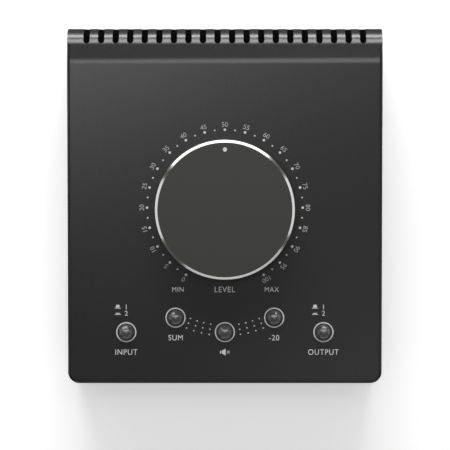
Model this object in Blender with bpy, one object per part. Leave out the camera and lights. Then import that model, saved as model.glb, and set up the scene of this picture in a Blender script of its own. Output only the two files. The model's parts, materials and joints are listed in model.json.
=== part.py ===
"""Studio monitor controller: a folded steel case with one large level knob, five push buttons and
eight sockets, each piece a separate solid. Metres, +Z up, front at -Y, standing on its feet at z = 0."""

import math

import bmesh
import bpy
from mathutils import Matrix, Vector

# Case, outside
CASE_WIDTH = 0.1192
CASE_DEPTH = 0.13475
FRONT_EDGE_HEIGHT = 0.0480
PANEL_SLOPE = math.radians(3.1)
SHEET = 0.0015
CORNER_RADIUS = 0.0043
FOLD_RADIUS = 0.0012
CREST_FROM_REAR = 0.0131
CREST_RADIUS = 0.0136
STRIP_SLOPE = math.radians(10.0)
ROUND_RADIUS = 0.0080
SKIRT_DROP = 0.0056
TAB_LENGTH = 0.0120
TAB_REACH = 0.0090
TAB_FROM_END = 0.0340

# Vent slots over the rear round
SLOT_PITCH = 0.0055
SLOT_WIDTH = 0.00225
SLOT_START = 0.0007
SLOT_FALL = 0.0019
SLOT_MARGIN = 0.00725

# Clearances, and the overrun of every cut
SEAT_GAP = 0.0003
SLIDE_GAP = 0.00015
TURN_GAP = 0.0001
OVERRUN = 0.0010

# Base tray and feet
FOOT_DIAMETER = 0.0120
FOOT_HEIGHT = 0.0022
FOOT_EDGE = 0.0006
FOOT_FROM_SIDE = 0.0116
FOOT_FROM_END = 0.0125
REAR_WALL_LAP = 0.0017
TRAY_FOLD_RADIUS = 0.0020

# Case screws
CASE_SCREW_DIAMETER = 0.0029
CASE_SCREW_LENGTH = 0.0062
CASE_HEAD_DIAMETER = 0.0056
CASE_HEAD_HEIGHT = 0.0016
SOCKET_SHARE = 0.45

# Dial place and knob
DIAL_FROM_FRONT = 0.06675
KNOB_DIAMETER = 0.0521
KNOB_HEIGHT = 0.0150
KNOB_LIFT = 0.0010
KNOB_CHAMFER = 0.0010
KNOB_WALL = 0.0024
KNOB_TOP = 0.0025
MARK_DIAMETER = 0.0018
MARK_RADIUS = 0.0225
MARK_DEPTH = 0.0003
HUB_DIAMETER = 0.0140
HUB_LENGTH = 0.0077

# Potentiometer
POT_SIDE = 0.0170
POT_HEIGHT = 0.0095
POT_CAVITY_DIAMETER = 0.0138
POT_CAVITY_DEPTH = 0.0050
BUSHING_DIAMETER = 0.0070
BUSHING_RISE = 0.0045
SHAFT_DIAMETER = 0.0060
SHAFT_RISE = 0.0125
SHAFT_FLAT = 0.0015
ROTOR_CLEARANCE = 0.0006
ROTOR_THICKNESS = 0.0012
ROTOR_LIFT = 0.0006
WASHER_DIAMETER = 0.0130
WASHER_THICKNESS = 0.0006
POT_NUT_ACROSS = 0.0100
POT_NUT_THICKNESS = 0.0020

# Push buttons
BUTTON_PITCH = 0.0187
BUTTON_LOW_ROW = 0.0473
BUTTON_HIGH_ROW = 0.0418
CAP_DIAMETER = 0.0059
CAP_RISE = 0.0040
CAP_DOME = 0.00225
CAP_TRAVEL = 0.0025
CAP_FLANGE_DIAMETER = 0.0078
CAP_FLANGE_THICKNESS = 0.0012
PLUNGER_SIDE = 0.0030
PLUNGER_TOP = 0.0006
PLUNGER_LENGTH = 0.0079
SWITCH_SIDE = 0.0086

# Control board, hung below the panel
BOARD_THICKNESS = 0.0016
BOARD_FROM_SIDE = 0.0060
BOARD_FROM_FRONT = 0.00675
BOARD_REAR = 0.0140
STANDOFF_ACROSS = 0.0050
STANDOFF_EDGE = 0.0038
STANDOFF_THREAD_DEPTH = 0.0070
BOARD_SCREW_DIAMETER = 0.0024
BOARD_SCREW_LENGTH = 0.0070
BOARD_HEAD_DIAMETER = 0.0046
BOARD_HEAD_HEIGHT = 0.0015

# Sockets in the rear wall
JACK_PITCH = 0.0250
JACK_LOW_ROW = 0.0135
JACK_ROW_PITCH = 0.0170
JACK_WIDTH = 0.0150
JACK_HEIGHT = 0.0155
JACK_LENGTH = 0.0210
JACK_BORE_DIAMETER = 0.0065
JACK_BACK_WALL = 0.0020
NOSE_DIAMETER = 0.0094
NOSE_LIP = 0.0004
JACK_NUT_ACROSS = 0.0127
JACK_NUT_THICKNESS = 0.0019
JACK_BOARD_EDGE = 0.0005
JACK_BOARD_LIFT = 0.0010

# Ribbon between the two boards
RIBBON_WIDTH = 0.0150
RIBBON_THICKNESS = 0.0009
RIBBON_REACH = 0.0150
RIBBON_SOCKET_WIDTH = 0.0190
RIBBON_SOCKET_DEPTH = 0.0050
RIBBON_SOCKET_HEIGHT = 0.0060
RIBBON_SOCKET_FROM_REAR = 0.0060
RIBBON_SOCKET_RISE = 0.0180

# Counts of the facets
CORNER_STEPS = 6
FOLD_STEPS = 3
CREST_STEPS = 4
ROUND_STEPS = 8
SLOT_END_STEPS = 3
DOME_STEPS = 5
SLOT_ARC_STEPS = 6
KNOB_SIDES = 64
SHAFT_SIDES = 32
ROUND_SIDES = 24
BORE_SIDES = 16
SCREW_SIDES = 12
RIBBON_STEPS = 14
JACK_COLUMNS = 4
WELD = 0.0000001
SMOOTH_ANGLE = math.radians(30.0)

# Places that follow from the sizes above
NOSE_PROUD = JACK_NUT_THICKNESS + NOSE_LIP - SHEET
FRONT_Y = -(CASE_DEPTH + NOSE_PROUD) / 2
REAR_Y = FRONT_Y + CASE_DEPTH
DIAL_Y = FRONT_Y + DIAL_FROM_FRONT
CASE_BOTTOM = FOOT_HEIGHT + SEAT_GAP
FLOOR_TOP = CASE_BOTTOM + SHEET
INSIDE_HALF_WIDTH = CASE_WIDTH / 2 - SHEET
REAR_WALL_BACK = REAR_Y - SHEET - SEAT_GAP
REAR_WALL_FRONT = REAR_WALL_BACK - SHEET
NOSE_END = REAR_Y + NOSE_PROUD
JACK_FACE = REAR_WALL_FRONT - SEAT_GAP
JACK_BACK = JACK_FACE - JACK_LENGTH
JACK_BOARD_FRONT = JACK_BACK - SEAT_GAP - BOARD_THICKNESS

# Levels over the panel's outside, along its normal
HANG_TOP = -SHEET - SEAT_GAP
BOARD_TOP = HANG_TOP - POT_HEIGHT - SEAT_GAP
BOARD_UNDERSIDE = BOARD_TOP - BOARD_THICKNESS
CAP_UNDERSIDE = HANG_TOP - CAP_FLANGE_THICKNESS
SWITCH_TOP = CAP_UNDERSIDE - CAP_TRAVEL - SEAT_GAP
KNOB_CEILING = KNOB_LIFT + KNOB_HEIGHT - KNOB_TOP
WASHER_BASE = SEAT_GAP
POT_NUT_BASE = WASHER_BASE + WASHER_THICKNESS + SEAT_GAP
CONTROL_BOARD_HALF_WIDTH = CASE_WIDTH / 2 - BOARD_FROM_SIDE
CONTROL_BOARD_FRONT = BOARD_FROM_FRONT - DIAL_FROM_FRONT
ROTOR_DIAMETER = POT_CAVITY_DIAMETER - 2 * ROTOR_CLEARANCE

# Each button's name, column from the middle, and distance of its row in front of the dial
BUTTONS = (
    ("input", -2, BUTTON_LOW_ROW),
    ("sum", -1, BUTTON_HIGH_ROW),
    ("mute", 0, BUTTON_LOW_ROW),
    ("dim", 1, BUTTON_HIGH_ROW),
    ("output", 2, BUTTON_LOW_ROW),
)


def clear_scene():
    for item in list(bpy.data.objects):
        bpy.data.objects.remove(item, do_unlink=True)


def linear(channel):
    if channel <= 0.04045:
        return channel / 12.92
    return ((channel + 0.055) / 1.055) ** 2.4


def finish(name, colour, roughness, metallic=0.0):
    """A Principled material of one sRGB hex colour."""
    material = bpy.data.materials.new(name)
    material.use_nodes = True
    shader = material.node_tree.nodes["Principled BSDF"]
    channels = [int(colour[i : i + 2], 16) / 255 for i in (1, 3, 5)]
    shader.inputs["Base Color"].default_value = (*map(linear, channels), 1.0)
    shader.inputs["Roughness"].default_value = roughness
    shader.inputs["Metallic"].default_value = metallic
    material.diffuse_color = shader.inputs["Base Color"].default_value
    return material


def arc(centre, radius, start, end, steps):
    """Points of an arc in a plane, its angles counted from the first axis."""
    turn = (end - start) / steps
    return [
        (
            centre[0] + radius * math.cos(start + turn * i),
            centre[1] + radius * math.sin(start + turn * i),
        )
        for i in range(steps + 1)
    ]


def circle(radius, sides):
    return arc((0.0, 0.0), radius, 0.0, 2 * math.pi, sides)[:-1]


def hexagon(across):
    return circle(across / math.sqrt(3), 6)


def extruded(points, way):
    """A prism: the flat outline through the points, pushed along a vector."""
    bm = bmesh.new()
    face = bm.faces.new([bm.verts.new(point) for point in points])
    grown = bmesh.ops.extrude_face_region(bm, geom=[face])
    far = [item for item in grown["geom"] if isinstance(item, bmesh.types.BMVert)]
    bmesh.ops.translate(bm, verts=far, vec=way)
    bmesh.ops.recalc_face_normals(bm, faces=bm.faces)
    return bm


def upright(outline, low, high):
    """A prism along Z over a plan outline."""
    return extruded([(x, y, low) for x, y in outline], (0.0, 0.0, high - low))


def crosswise(outline, half_width):
    """A prism along X over an outline of (y, z) points."""
    points = [(-half_width, y, z) for y, z in outline]
    return extruded(points, (2 * half_width, 0.0, 0.0))


def block(low, high):
    outline = [(low[0], low[1]), (high[0], low[1]), (high[0], high[1]), (low[0], high[1])]
    return upright(outline, low[2], high[2])


def turned(outline, sides):
    """Spins an outline of (radius, height) points, from axis to axis, round Z."""
    bm = bmesh.new()
    verts = [bm.verts.new((radius, 0.0, height)) for radius, height in outline]
    edges = [bm.edges.new(pair) for pair in zip(verts, verts[1:])]
    bmesh.ops.spin(
        bm,
        geom=verts + edges,
        cent=(0.0, 0.0, 0.0),
        axis=(0.0, 0.0, 1.0),
        angle=2 * math.pi,
        steps=sides,
        use_merge=True,
    )
    bmesh.ops.remove_doubles(bm, verts=bm.verts, dist=WELD)
    bmesh.ops.recalc_face_normals(bm, faces=bm.faces)
    return bm


def rod(radius, low, high, sides):
    return turned([(0.0, low), (radius, low), (radius, high), (0.0, high)], sides)


def moved(bm, matrix):
    bmesh.ops.transform(bm, matrix=matrix, verts=bm.verts)
    return bm


def shifted(bm, x, y, z):
    return moved(bm, Matrix.Translation((x, y, z)))


def joined_shapes(shapes):
    """Several shapes that don't meet, as one tool for a cut."""
    bm = bmesh.new()
    for shape in shapes:
        mesh = bpy.data.meshes.new("shape")
        shape.to_mesh(mesh)
        shape.free()
        bm.from_mesh(mesh)
        bpy.data.meshes.remove(mesh)
    return bm


def loose_object(bm):
    mesh = bpy.data.meshes.new("shape")
    bm.to_mesh(mesh)
    bm.free()
    item = bpy.data.objects.new("shape", mesh)
    bpy.context.scene.collection.objects.link(item)
    return item


def combined(base, *steps):
    """The base shape after each (operation, shape) step, by Boolean modifiers."""
    target = loose_object(base)
    tools = []
    for operation, shape in steps:
        tools.append(loose_object(shape))
        modifier = target.modifiers.new("step", "BOOLEAN")
        modifier.operation = operation
        modifier.solver = "EXACT"
        modifier.object = tools[-1]
    graph = bpy.context.evaluated_depsgraph_get()
    mesh = bpy.data.meshes.new_from_object(target.evaluated_get(graph))
    result = bmesh.new()
    result.from_mesh(mesh)
    bpy.data.meshes.remove(mesh)
    for item in [target, *tools]:
        data = item.data
        bpy.data.objects.remove(item, do_unlink=True)
        bpy.data.meshes.remove(data)
    return result


def mesh_of(name, bm):
    mesh = bpy.data.meshes.new(name)
    bm.to_mesh(mesh)
    bm.free()
    mesh.shade_smooth()
    mesh.set_sharp_from_angle(angle=SMOOTH_ANGLE)
    return mesh


def add_piece(name, mesh, material, parent=None, location=(0.0, 0.0, 0.0)):
    """One named object; copies of a piece share their mesh."""
    if not mesh.materials:
        mesh.materials.append(material)
    item = bpy.data.objects.new(name, mesh)
    bpy.context.scene.collection.objects.link(item)
    item.parent = parent
    item.location = location
    return item


def add_frame(name, location, tilt=0.0, parent=None):
    item = bpy.data.objects.new(name, None)
    bpy.context.scene.collection.objects.link(item)
    item.parent = parent
    item.location = location
    item.rotation_euler = (tilt, 0.0, 0.0)
    return item


def panel_height(y):
    """Height of the panel's outside above the table."""
    return FRONT_EDGE_HEIGHT + (y - FRONT_Y) * math.tan(PANEL_SLOPE)


def panel_matrix():
    """From the panel's own frame, centred on the dial, to the whole part's."""
    centre = Matrix.Translation((0.0, DIAL_Y, panel_height(DIAL_Y)))
    return centre @ Matrix.Rotation(PANEL_SLOPE, 4, "X")


def crest_centre():
    y = REAR_Y - CREST_FROM_REAR
    touch = panel_height(y - CREST_RADIUS * math.sin(PANEL_SLOPE))
    return y, touch - CREST_RADIUS * math.cos(PANEL_SLOPE)


def round_centre():
    y, z = crest_centre()
    strip_start = y + CREST_RADIUS * math.sin(STRIP_SLOPE)
    strip_end = REAR_Y - ROUND_RADIUS + ROUND_RADIUS * math.sin(STRIP_SLOPE)
    fall = (strip_end - strip_start) * math.tan(STRIP_SLOPE)
    top = z + CREST_RADIUS * math.cos(STRIP_SLOPE) - fall
    return REAR_Y - ROUND_RADIUS, top - ROUND_RADIUS * math.cos(STRIP_SLOPE)


def skirt_height():
    return round_centre()[1] - SKIRT_DROP


def top_line(inset):
    """The case's (y, z) line from the front over the crest to the rear, at a depth below its outside."""
    quarter = math.pi / 2
    front = FRONT_Y - OVERRUN
    points = [(front, panel_height(front) - inset / math.cos(PANEL_SLOPE))]
    points += arc(
        crest_centre(),
        CREST_RADIUS - inset,
        quarter + PANEL_SLOPE,
        quarter - STRIP_SLOPE,
        CREST_STEPS,
    )
    points += arc(
        round_centre(), ROUND_RADIUS - inset, quarter - STRIP_SLOPE, 0.0, ROUND_STEPS
    )
    return points


def plan_outline(inset):
    """The case from above: rounded front corners, open past the rear, at a depth inside its walls."""
    half = CASE_WIDTH / 2
    rear = REAR_Y + 2 * OVERRUN
    y = FRONT_Y + CORNER_RADIUS
    radius = CORNER_RADIUS - inset
    quarter = math.pi / 2
    left = arc((-half + CORNER_RADIUS, y), radius, 2 * quarter, 3 * quarter, CORNER_STEPS)
    right = arc((half - CORNER_RADIUS, y), radius, 3 * quarter, 4 * quarter, CORNER_STEPS)
    return [(-half + inset, rear), *left, *right, (half - inset, rear)]


def case_block():
    """The case's outside as a solid block."""
    low = CASE_BOTTOM - OVERRUN
    outline = [*top_line(0.0), (REAR_Y, low), (FRONT_Y - OVERRUN, low)]
    high = crest_centre()[1] + CREST_RADIUS + OVERRUN
    plan = upright(plan_outline(0.0), CASE_BOTTOM, high)
    return combined(plan, ("INTERSECT", crosswise(outline, CASE_WIDTH)))


def round_folds(bm):
    """Rounds the edges where the panel folds down into the front and side walls."""
    fold_end = round_centre()[0] + ROUND_RADIUS * math.sin(STRIP_SLOPE) + WELD
    steep = math.sin(SMOOTH_ANGLE)
    bm.normal_update()
    folds = []
    for edge in bm.edges:
        rises = sorted(face.normal.z for face in edge.link_faces)
        on_panel = max(vert.co.y for vert in edge.verts) < fold_end
        if len(rises) == 2 and abs(rises[0]) < steep and rises[1] > steep and on_panel:
            folds.append(edge)
    bmesh.ops.bevel(
        bm,
        geom=folds,
        offset=FOLD_RADIUS,
        segments=FOLD_STEPS,
        profile=0.5,
        affect="EDGES",
        clamp_overlap=False,
    )
    bmesh.ops.remove_doubles(bm, verts=bm.verts, dist=WELD)
    return bm


def case_hollow():
    """What is taken out of the block: all inside the sheet, and the rear below the skirt."""
    low = CASE_BOTTOM - 2 * OVERRUN
    rear = REAR_Y + OVERRUN
    skirt = skirt_height()
    outline = [
        *top_line(SHEET),
        (REAR_Y - SHEET, skirt),
        (rear, skirt),
        (rear, low),
        (FRONT_Y - OVERRUN, low),
    ]
    high = crest_centre()[1] + CREST_RADIUS + OVERRUN
    plan = upright(plan_outline(SHEET), CASE_BOTTOM - OVERRUN, high)
    return combined(plan, ("INTERSECT", crosswise(outline, CASE_WIDTH)))


def slot_stations():
    """Each station of a slot: the point on the case's line, its outward normal and the half width."""
    y, z = round_centre()
    radius = SLOT_WIDTH / 2
    arc_length = ROUND_RADIUS * (math.pi / 2 - STRIP_SLOPE) - SLOT_START
    length = arc_length + SLOT_FALL
    step = math.pi / 2 / (SLOT_END_STEPS + 1)
    start = [radius * (1 - math.cos(step * (i + 1))) for i in range(SLOT_END_STEPS)]
    middle = [
        radius + (arc_length - radius) * i / SLOT_ARC_STEPS for i in range(SLOT_ARC_STEPS + 1)
    ]
    finish_end = [length - place for place in reversed(start)]
    places = [*start, *middle, length - radius, *finish_end]
    stations = []
    for place in places:
        end = min(place, length - place, radius)
        half = math.sqrt(radius**2 - (radius - end) ** 2)
        angle = STRIP_SLOPE + (SLOT_START + min(place, arc_length)) / ROUND_RADIUS
        drop = max(place - arc_length, 0.0)
        normal = (math.sin(angle), math.cos(angle))
        point = (y + ROUND_RADIUS * normal[0], z + ROUND_RADIUS * normal[1] - drop)
        stations.append((point, normal, half))
    return stations


def slot_tool():
    """One slot's cut: a strip that follows the rear round, narrowing to round ends."""
    bm = bmesh.new()
    rings = []
    inner = -SHEET - OVERRUN
    for point, normal, half in slot_stations():
        ring = []
        for side, depth in ((-half, inner), (half, inner), (half, OVERRUN), (-half, OVERRUN)):
            place = (side, point[0] + normal[0] * depth, point[1] + normal[1] * depth)
            ring.append(bm.verts.new(place))
        rings.append(ring)
    for ring, following in zip(rings, rings[1:]):
        for i in range(4):
            j = (i + 1) % 4
            bm.faces.new((ring[i], ring[j], following[j], following[i]))
    bm.faces.new(rings[0][::-1])
    bm.faces.new(rings[-1])
    bmesh.ops.recalc_face_normals(bm, faces=bm.faces)
    return bm


def slot_tools():
    count = round((CASE_WIDTH - 2 * SLOT_MARGIN) / SLOT_PITCH) + 1
    middle = (count - 1) / 2
    tools = [shifted(slot_tool(), (i - middle) * SLOT_PITCH, 0.0, 0.0) for i in range(count)]
    return joined_shapes(tools)


def button_place(column, row):
    return column * BUTTON_PITCH, -row


def panel_holes():
    """The holes for the potentiometer's bushing and the five buttons, through the panel."""
    tools = [rod(BUSHING_DIAMETER / 2 + SEAT_GAP, -SHEET - OVERRUN, OVERRUN, ROUND_SIDES)]
    for _, column, row in BUTTONS:
        hole = rod(CAP_DIAMETER / 2 + SEAT_GAP, -SHEET - OVERRUN, OVERRUN, ROUND_SIDES)
        tools.append(shifted(hole, *button_place(column, row), 0.0))
    return moved(joined_shapes(tools), panel_matrix())


def screw_places():
    """The (x, y) places of the four case screws, in the middle of the cover's tabs."""
    x = INSIDE_HALF_WIDTH - TAB_REACH / 2
    return [
        (side * x, y)
        for side in (-1, 1)
        for y in (FRONT_Y + TAB_FROM_END, REAR_Y - TAB_FROM_END)
    ]


def tabs():
    """The cover's four tabs, folded in just above the tray's floor."""
    low = FLOOR_TOP + SEAT_GAP
    shapes = []
    for x, y in screw_places():
        outer = math.copysign(INSIDE_HALF_WIDTH + SHEET / 2, x)
        inner = math.copysign(INSIDE_HALF_WIDTH - TAB_REACH, x)
        shapes.append(
            block(
                (min(outer, inner), y - TAB_LENGTH / 2, low),
                (max(outer, inner), y + TAB_LENGTH / 2, low + SHEET),
            )
        )
    return joined_shapes(shapes)


def screw_holes(low, high):
    radius = CASE_SCREW_DIAMETER / 2 + SEAT_GAP
    tools = [shifted(rod(radius, low, high, SCREW_SIDES), x, y, 0.0) for x, y in screw_places()]
    return joined_shapes(tools)


def make_top_cover(material):
    shell = combined(
        round_folds(case_block()),
        ("DIFFERENCE", case_hollow()),
        ("UNION", tabs()),
        ("DIFFERENCE", slot_tools()),
        ("DIFFERENCE", panel_holes()),
        ("DIFFERENCE", screw_holes(FLOOR_TOP, FLOOR_TOP + SHEET + OVERRUN)),
    )
    add_piece("top_cover", mesh_of("top_cover", shell), material)


def jack_places():
    """Each socket's name, x and z."""
    middle = (JACK_COLUMNS - 1) / 2
    rows = (("lower", JACK_LOW_ROW), ("upper", JACK_LOW_ROW + JACK_ROW_PITCH))
    return [
        (f"{row}_{column + 1}", (column - middle) * JACK_PITCH, z)
        for row, z in rows
        for column in range(JACK_COLUMNS)
    ]


def rearward(bm, x, z):
    """Turns a shape from along +Z to along +Y and sets it at a socket's place."""
    return moved(bm, Matrix.Translation((x, 0.0, z)) @ Matrix.Rotation(-math.pi / 2, 4, "X"))


def make_base_tray(material):
    """The floor and the rear wall that carries the sockets, folded from one sheet."""
    half = INSIDE_HALF_WIDTH - SEAT_GAP
    front = FRONT_Y + SHEET + SEAT_GAP
    outer = TRAY_FOLD_RADIUS
    centre = (REAR_WALL_BACK - outer, CASE_BOTTOM + outer)
    top = skirt_height() + REAR_WALL_LAP
    outline = [
        (front, CASE_BOTTOM),
        *arc(centre, outer, -math.pi / 2, 0.0, FOLD_STEPS),
        (REAR_WALL_BACK, top),
        (REAR_WALL_FRONT, top),
        *arc(centre, outer - SHEET, 0.0, -math.pi / 2, FOLD_STEPS),
        (front, FLOOR_TOP),
    ]
    sheet = crosswise(outline, half)
    corners = [
        edge
        for edge in sheet.edges
        if all(abs(vert.co.y - front) < WELD and abs(vert.co.x) > half - WELD for vert in edge.verts)
    ]
    bmesh.ops.bevel(
        sheet,
        geom=corners,
        offset=CORNER_RADIUS - SHEET,
        segments=CORNER_STEPS,
        profile=0.5,
        affect="EDGES",
    )
    nose = NOSE_DIAMETER / 2 + SEAT_GAP
    holes = [
        rearward(rod(nose, REAR_WALL_FRONT - OVERRUN, REAR_Y, BORE_SIDES), x, z)
        for _, x, z in jack_places()
    ]
    shell = combined(
        sheet,
        ("DIFFERENCE", joined_shapes(holes)),
        ("DIFFERENCE", screw_holes(CASE_BOTTOM - OVERRUN, FLOOR_TOP + OVERRUN)),
    )
    add_piece("base_tray", mesh_of("base_tray", shell), material)


def make_feet(material):
    radius = FOOT_DIAMETER / 2
    outline = [
        (0.0, 0.0),
        (radius - FOOT_EDGE, 0.0),
        (radius, FOOT_EDGE),
        (radius, FOOT_HEIGHT),
        (0.0, FOOT_HEIGHT),
    ]
    mesh = mesh_of("foot", turned(outline, ROUND_SIDES))
    x = CASE_WIDTH / 2 - FOOT_FROM_SIDE
    ends = {"front": FRONT_Y + FOOT_FROM_END, "rear": REAR_Y - FOOT_FROM_END}
    for end, y in ends.items():
        for side, place in (("left", -x), ("right", x)):
            add_piece(f"foot_{end}_{side}", mesh, material, location=(place, y, 0.0))


def screw_shape(shank, length, head, head_height):
    """A screw that points up, with its seat at height zero and a hexagon socket in its head."""
    outline = [
        (0.0, -head_height),
        (head / 2, -head_height),
        (head / 2, 0.0),
        (shank / 2, 0.0),
        (shank / 2, length),
        (0.0, length),
    ]
    depth = head_height * SOCKET_SHARE
    socket = upright(hexagon(head * SOCKET_SHARE), -head_height - OVERRUN, -head_height + depth)
    return combined(turned(outline, SCREW_SIDES), ("DIFFERENCE", socket))


def make_case_screws(material):
    shape = screw_shape(
        CASE_SCREW_DIAMETER, CASE_SCREW_LENGTH, CASE_HEAD_DIAMETER, CASE_HEAD_HEIGHT
    )
    mesh = mesh_of("case_screw", shape)
    for number, (x, y) in enumerate(screw_places(), 1):
        place = (x, y, CASE_BOTTOM - SEAT_GAP)
        add_piece(f"case_screw_{number}", mesh, material, location=place)


def d_outline(radius, flat):
    """A round outline with one flat, towards +Y, cut in by a depth."""
    half = math.acos((radius - flat) / radius)
    start = math.pi / 2 + half
    return arc((0.0, 0.0), radius, start, start + 2 * (math.pi - half), SHAFT_SIDES)


def make_knob(material, pivot):
    """A turned cap with a cut chamfer round its face and a dimple that points to the scale."""
    radius = KNOB_DIAMETER / 2
    top = KNOB_LIFT + KNOB_HEIGHT
    outline = [
        (0.0, KNOB_CEILING),
        (radius - KNOB_WALL, KNOB_CEILING),
        (radius - KNOB_WALL, KNOB_LIFT),
        (radius, KNOB_LIFT),
        (radius, top - KNOB_CHAMFER),
        (radius - KNOB_CHAMFER, top),
        (0.0, top),
    ]
    mark = rod(MARK_DIAMETER / 2, top - MARK_DEPTH, top + OVERRUN, BORE_SIDES)
    cap = combined(
        turned(outline, KNOB_SIDES), ("DIFFERENCE", shifted(mark, 0.0, MARK_RADIUS, 0.0))
    )
    add_piece("volume_knob", mesh_of("volume_knob", cap), material, pivot)


def make_knob_hub(material, pivot):
    top = KNOB_CEILING - SEAT_GAP
    body = rod(HUB_DIAMETER / 2, top - HUB_LENGTH, top, ROUND_SIDES)
    outline = d_outline(SHAFT_DIAMETER / 2 + SLIDE_GAP, SHAFT_FLAT)
    bore = upright(outline, top - HUB_LENGTH - OVERRUN, SHAFT_RISE + SEAT_GAP)
    hub = combined(body, ("DIFFERENCE", bore))
    add_piece("knob_hub", mesh_of("knob_hub", hub), material, pivot)


def make_pot_shaft(material, pivot):
    """The shaft with its rotor disc, its upper end cut to a flat for the hub."""
    radius = SHAFT_DIAMETER / 2
    low = HANG_TOP - POT_HEIGHT + ROTOR_LIFT
    outline = [
        (0.0, low),
        (ROTOR_DIAMETER / 2, low),
        (ROTOR_DIAMETER / 2, low + ROTOR_THICKNESS),
        (radius, low + ROTOR_THICKNESS),
        (radius, SHAFT_RISE),
        (0.0, SHAFT_RISE),
    ]
    flat = block(
        (-radius - OVERRUN, radius - SHAFT_FLAT, BUSHING_RISE),
        (radius + OVERRUN, radius + OVERRUN, SHAFT_RISE + OVERRUN),
    )
    shaft = combined(turned(outline, SHAFT_SIDES), ("DIFFERENCE", flat))
    add_piece("pot_shaft", mesh_of("pot_shaft", shaft), material, pivot)


def make_pot_body(material, frame):
    """The potentiometer's housing and bushing, its cavity open towards the board."""
    half = POT_SIDE / 2
    low = HANG_TOP - POT_HEIGHT
    radius = SHAFT_DIAMETER / 2 + TURN_GAP
    cavity = rod(POT_CAVITY_DIAMETER / 2, low - OVERRUN, low + POT_CAVITY_DEPTH, ROUND_SIDES)
    housing = combined(
        block((-half, -half, low), (half, half, HANG_TOP)),
        ("UNION", rod(BUSHING_DIAMETER / 2, low + SHEET, BUSHING_RISE, ROUND_SIDES)),
        ("DIFFERENCE", cavity),
        ("DIFFERENCE", rod(radius, low, BUSHING_RISE + OVERRUN, SHAFT_SIDES)),
    )
    add_piece("pot_body", mesh_of("pot_body", housing), material, frame)


def ring_shape(outline, bore, low, high):
    """A flat ring or nut: an outline with a round bore."""
    tool = rod(bore / 2, low - OVERRUN, high + OVERRUN, BORE_SIDES)
    return combined(upright(outline, low, high), ("DIFFERENCE", tool))


def make_pot_fixing(material, frame):
    """The washer and the nut that clamp the bushing to the panel."""
    bore = BUSHING_DIAMETER + 2 * SEAT_GAP
    washer = ring_shape(
        circle(WASHER_DIAMETER / 2, ROUND_SIDES), bore, WASHER_BASE, WASHER_BASE + WASHER_THICKNESS
    )
    nut = ring_shape(
        hexagon(POT_NUT_ACROSS), bore, POT_NUT_BASE, POT_NUT_BASE + POT_NUT_THICKNESS
    )
    add_piece("pot_washer", mesh_of("pot_washer", washer), material, frame)
    add_piece("pot_nut", mesh_of("pot_nut", nut), material, frame)


def button_cap_shape():
    """A domed round cap with a flange below the panel and a square socket for the plunger."""
    radius = CAP_DIAMETER / 2
    flange = CAP_FLANGE_DIAMETER / 2
    dome = (radius**2 + CAP_DOME**2) / (2 * CAP_DOME)
    rim = math.asin((dome - CAP_DOME) / dome)
    outline = [
        (0.0, CAP_UNDERSIDE),
        (flange, CAP_UNDERSIDE),
        (flange, HANG_TOP),
        (radius, HANG_TOP),
        *arc((0.0, CAP_RISE - dome), dome, rim, math.pi / 2, DOME_STEPS)[:-1],
        (0.0, CAP_RISE),
    ]
    half = PLUNGER_SIDE / 2 + SLIDE_GAP
    socket = block((-half, -half, CAP_UNDERSIDE - OVERRUN), (half, half, -PLUNGER_TOP + SEAT_GAP))
    return combined(turned(outline, ROUND_SIDES), ("DIFFERENCE", socket))


def plunger_shape():
    half = PLUNGER_SIDE / 2
    return block((-half, -half, -PLUNGER_TOP - PLUNGER_LENGTH), (half, half, -PLUNGER_TOP))


def switch_shape():
    """A latching switch's housing, open along the plunger's way."""
    half = SWITCH_SIDE / 2
    way = PLUNGER_SIDE / 2 + SEAT_GAP
    low = BOARD_TOP + SEAT_GAP
    body = block((-half, -half, low), (half, half, SWITCH_TOP))
    bore = block((-way, -way, low - OVERRUN), (way, way, SWITCH_TOP + OVERRUN))
    return combined(body, ("DIFFERENCE", bore))


def make_buttons(cap_material, plunger_material, switch_material, frame):
    cap = mesh_of("button_cap", button_cap_shape())
    plunger = mesh_of("switch_plunger", plunger_shape())
    switch = mesh_of("switch_body", switch_shape())
    for name, column, row in BUTTONS:
        slide = add_frame(f"{name}_slide", (*button_place(column, row), 0.0), parent=frame)
        add_piece(f"{name}_button", cap, cap_material, slide)
        add_piece(f"{name}_plunger", plunger, plunger_material, slide)
        add_piece(f"{name}_switch", switch, switch_material, frame, slide.location)


def standoff_places():
    x = CONTROL_BOARD_HALF_WIDTH - STANDOFF_EDGE
    front = CONTROL_BOARD_FRONT + STANDOFF_EDGE
    rear = BOARD_REAR - STANDOFF_EDGE
    return [(side * x, y) for y in (front, rear) for side in (-1, 1)]


def make_control_board(material, frame):
    half = CONTROL_BOARD_HALF_WIDTH
    board = block((-half, CONTROL_BOARD_FRONT, BOARD_UNDERSIDE), (half, BOARD_REAR, BOARD_TOP))
    radius = BOARD_SCREW_DIAMETER / 2 + SEAT_GAP
    low = BOARD_UNDERSIDE - OVERRUN
    high = BOARD_TOP + OVERRUN
    holes = [shifted(rod(radius, low, high, SCREW_SIDES), x, y, 0.0) for x, y in standoff_places()]
    drilled = combined(board, ("DIFFERENCE", joined_shapes(holes)))
    add_piece("control_board", mesh_of("control_board", drilled), material, frame)


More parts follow.
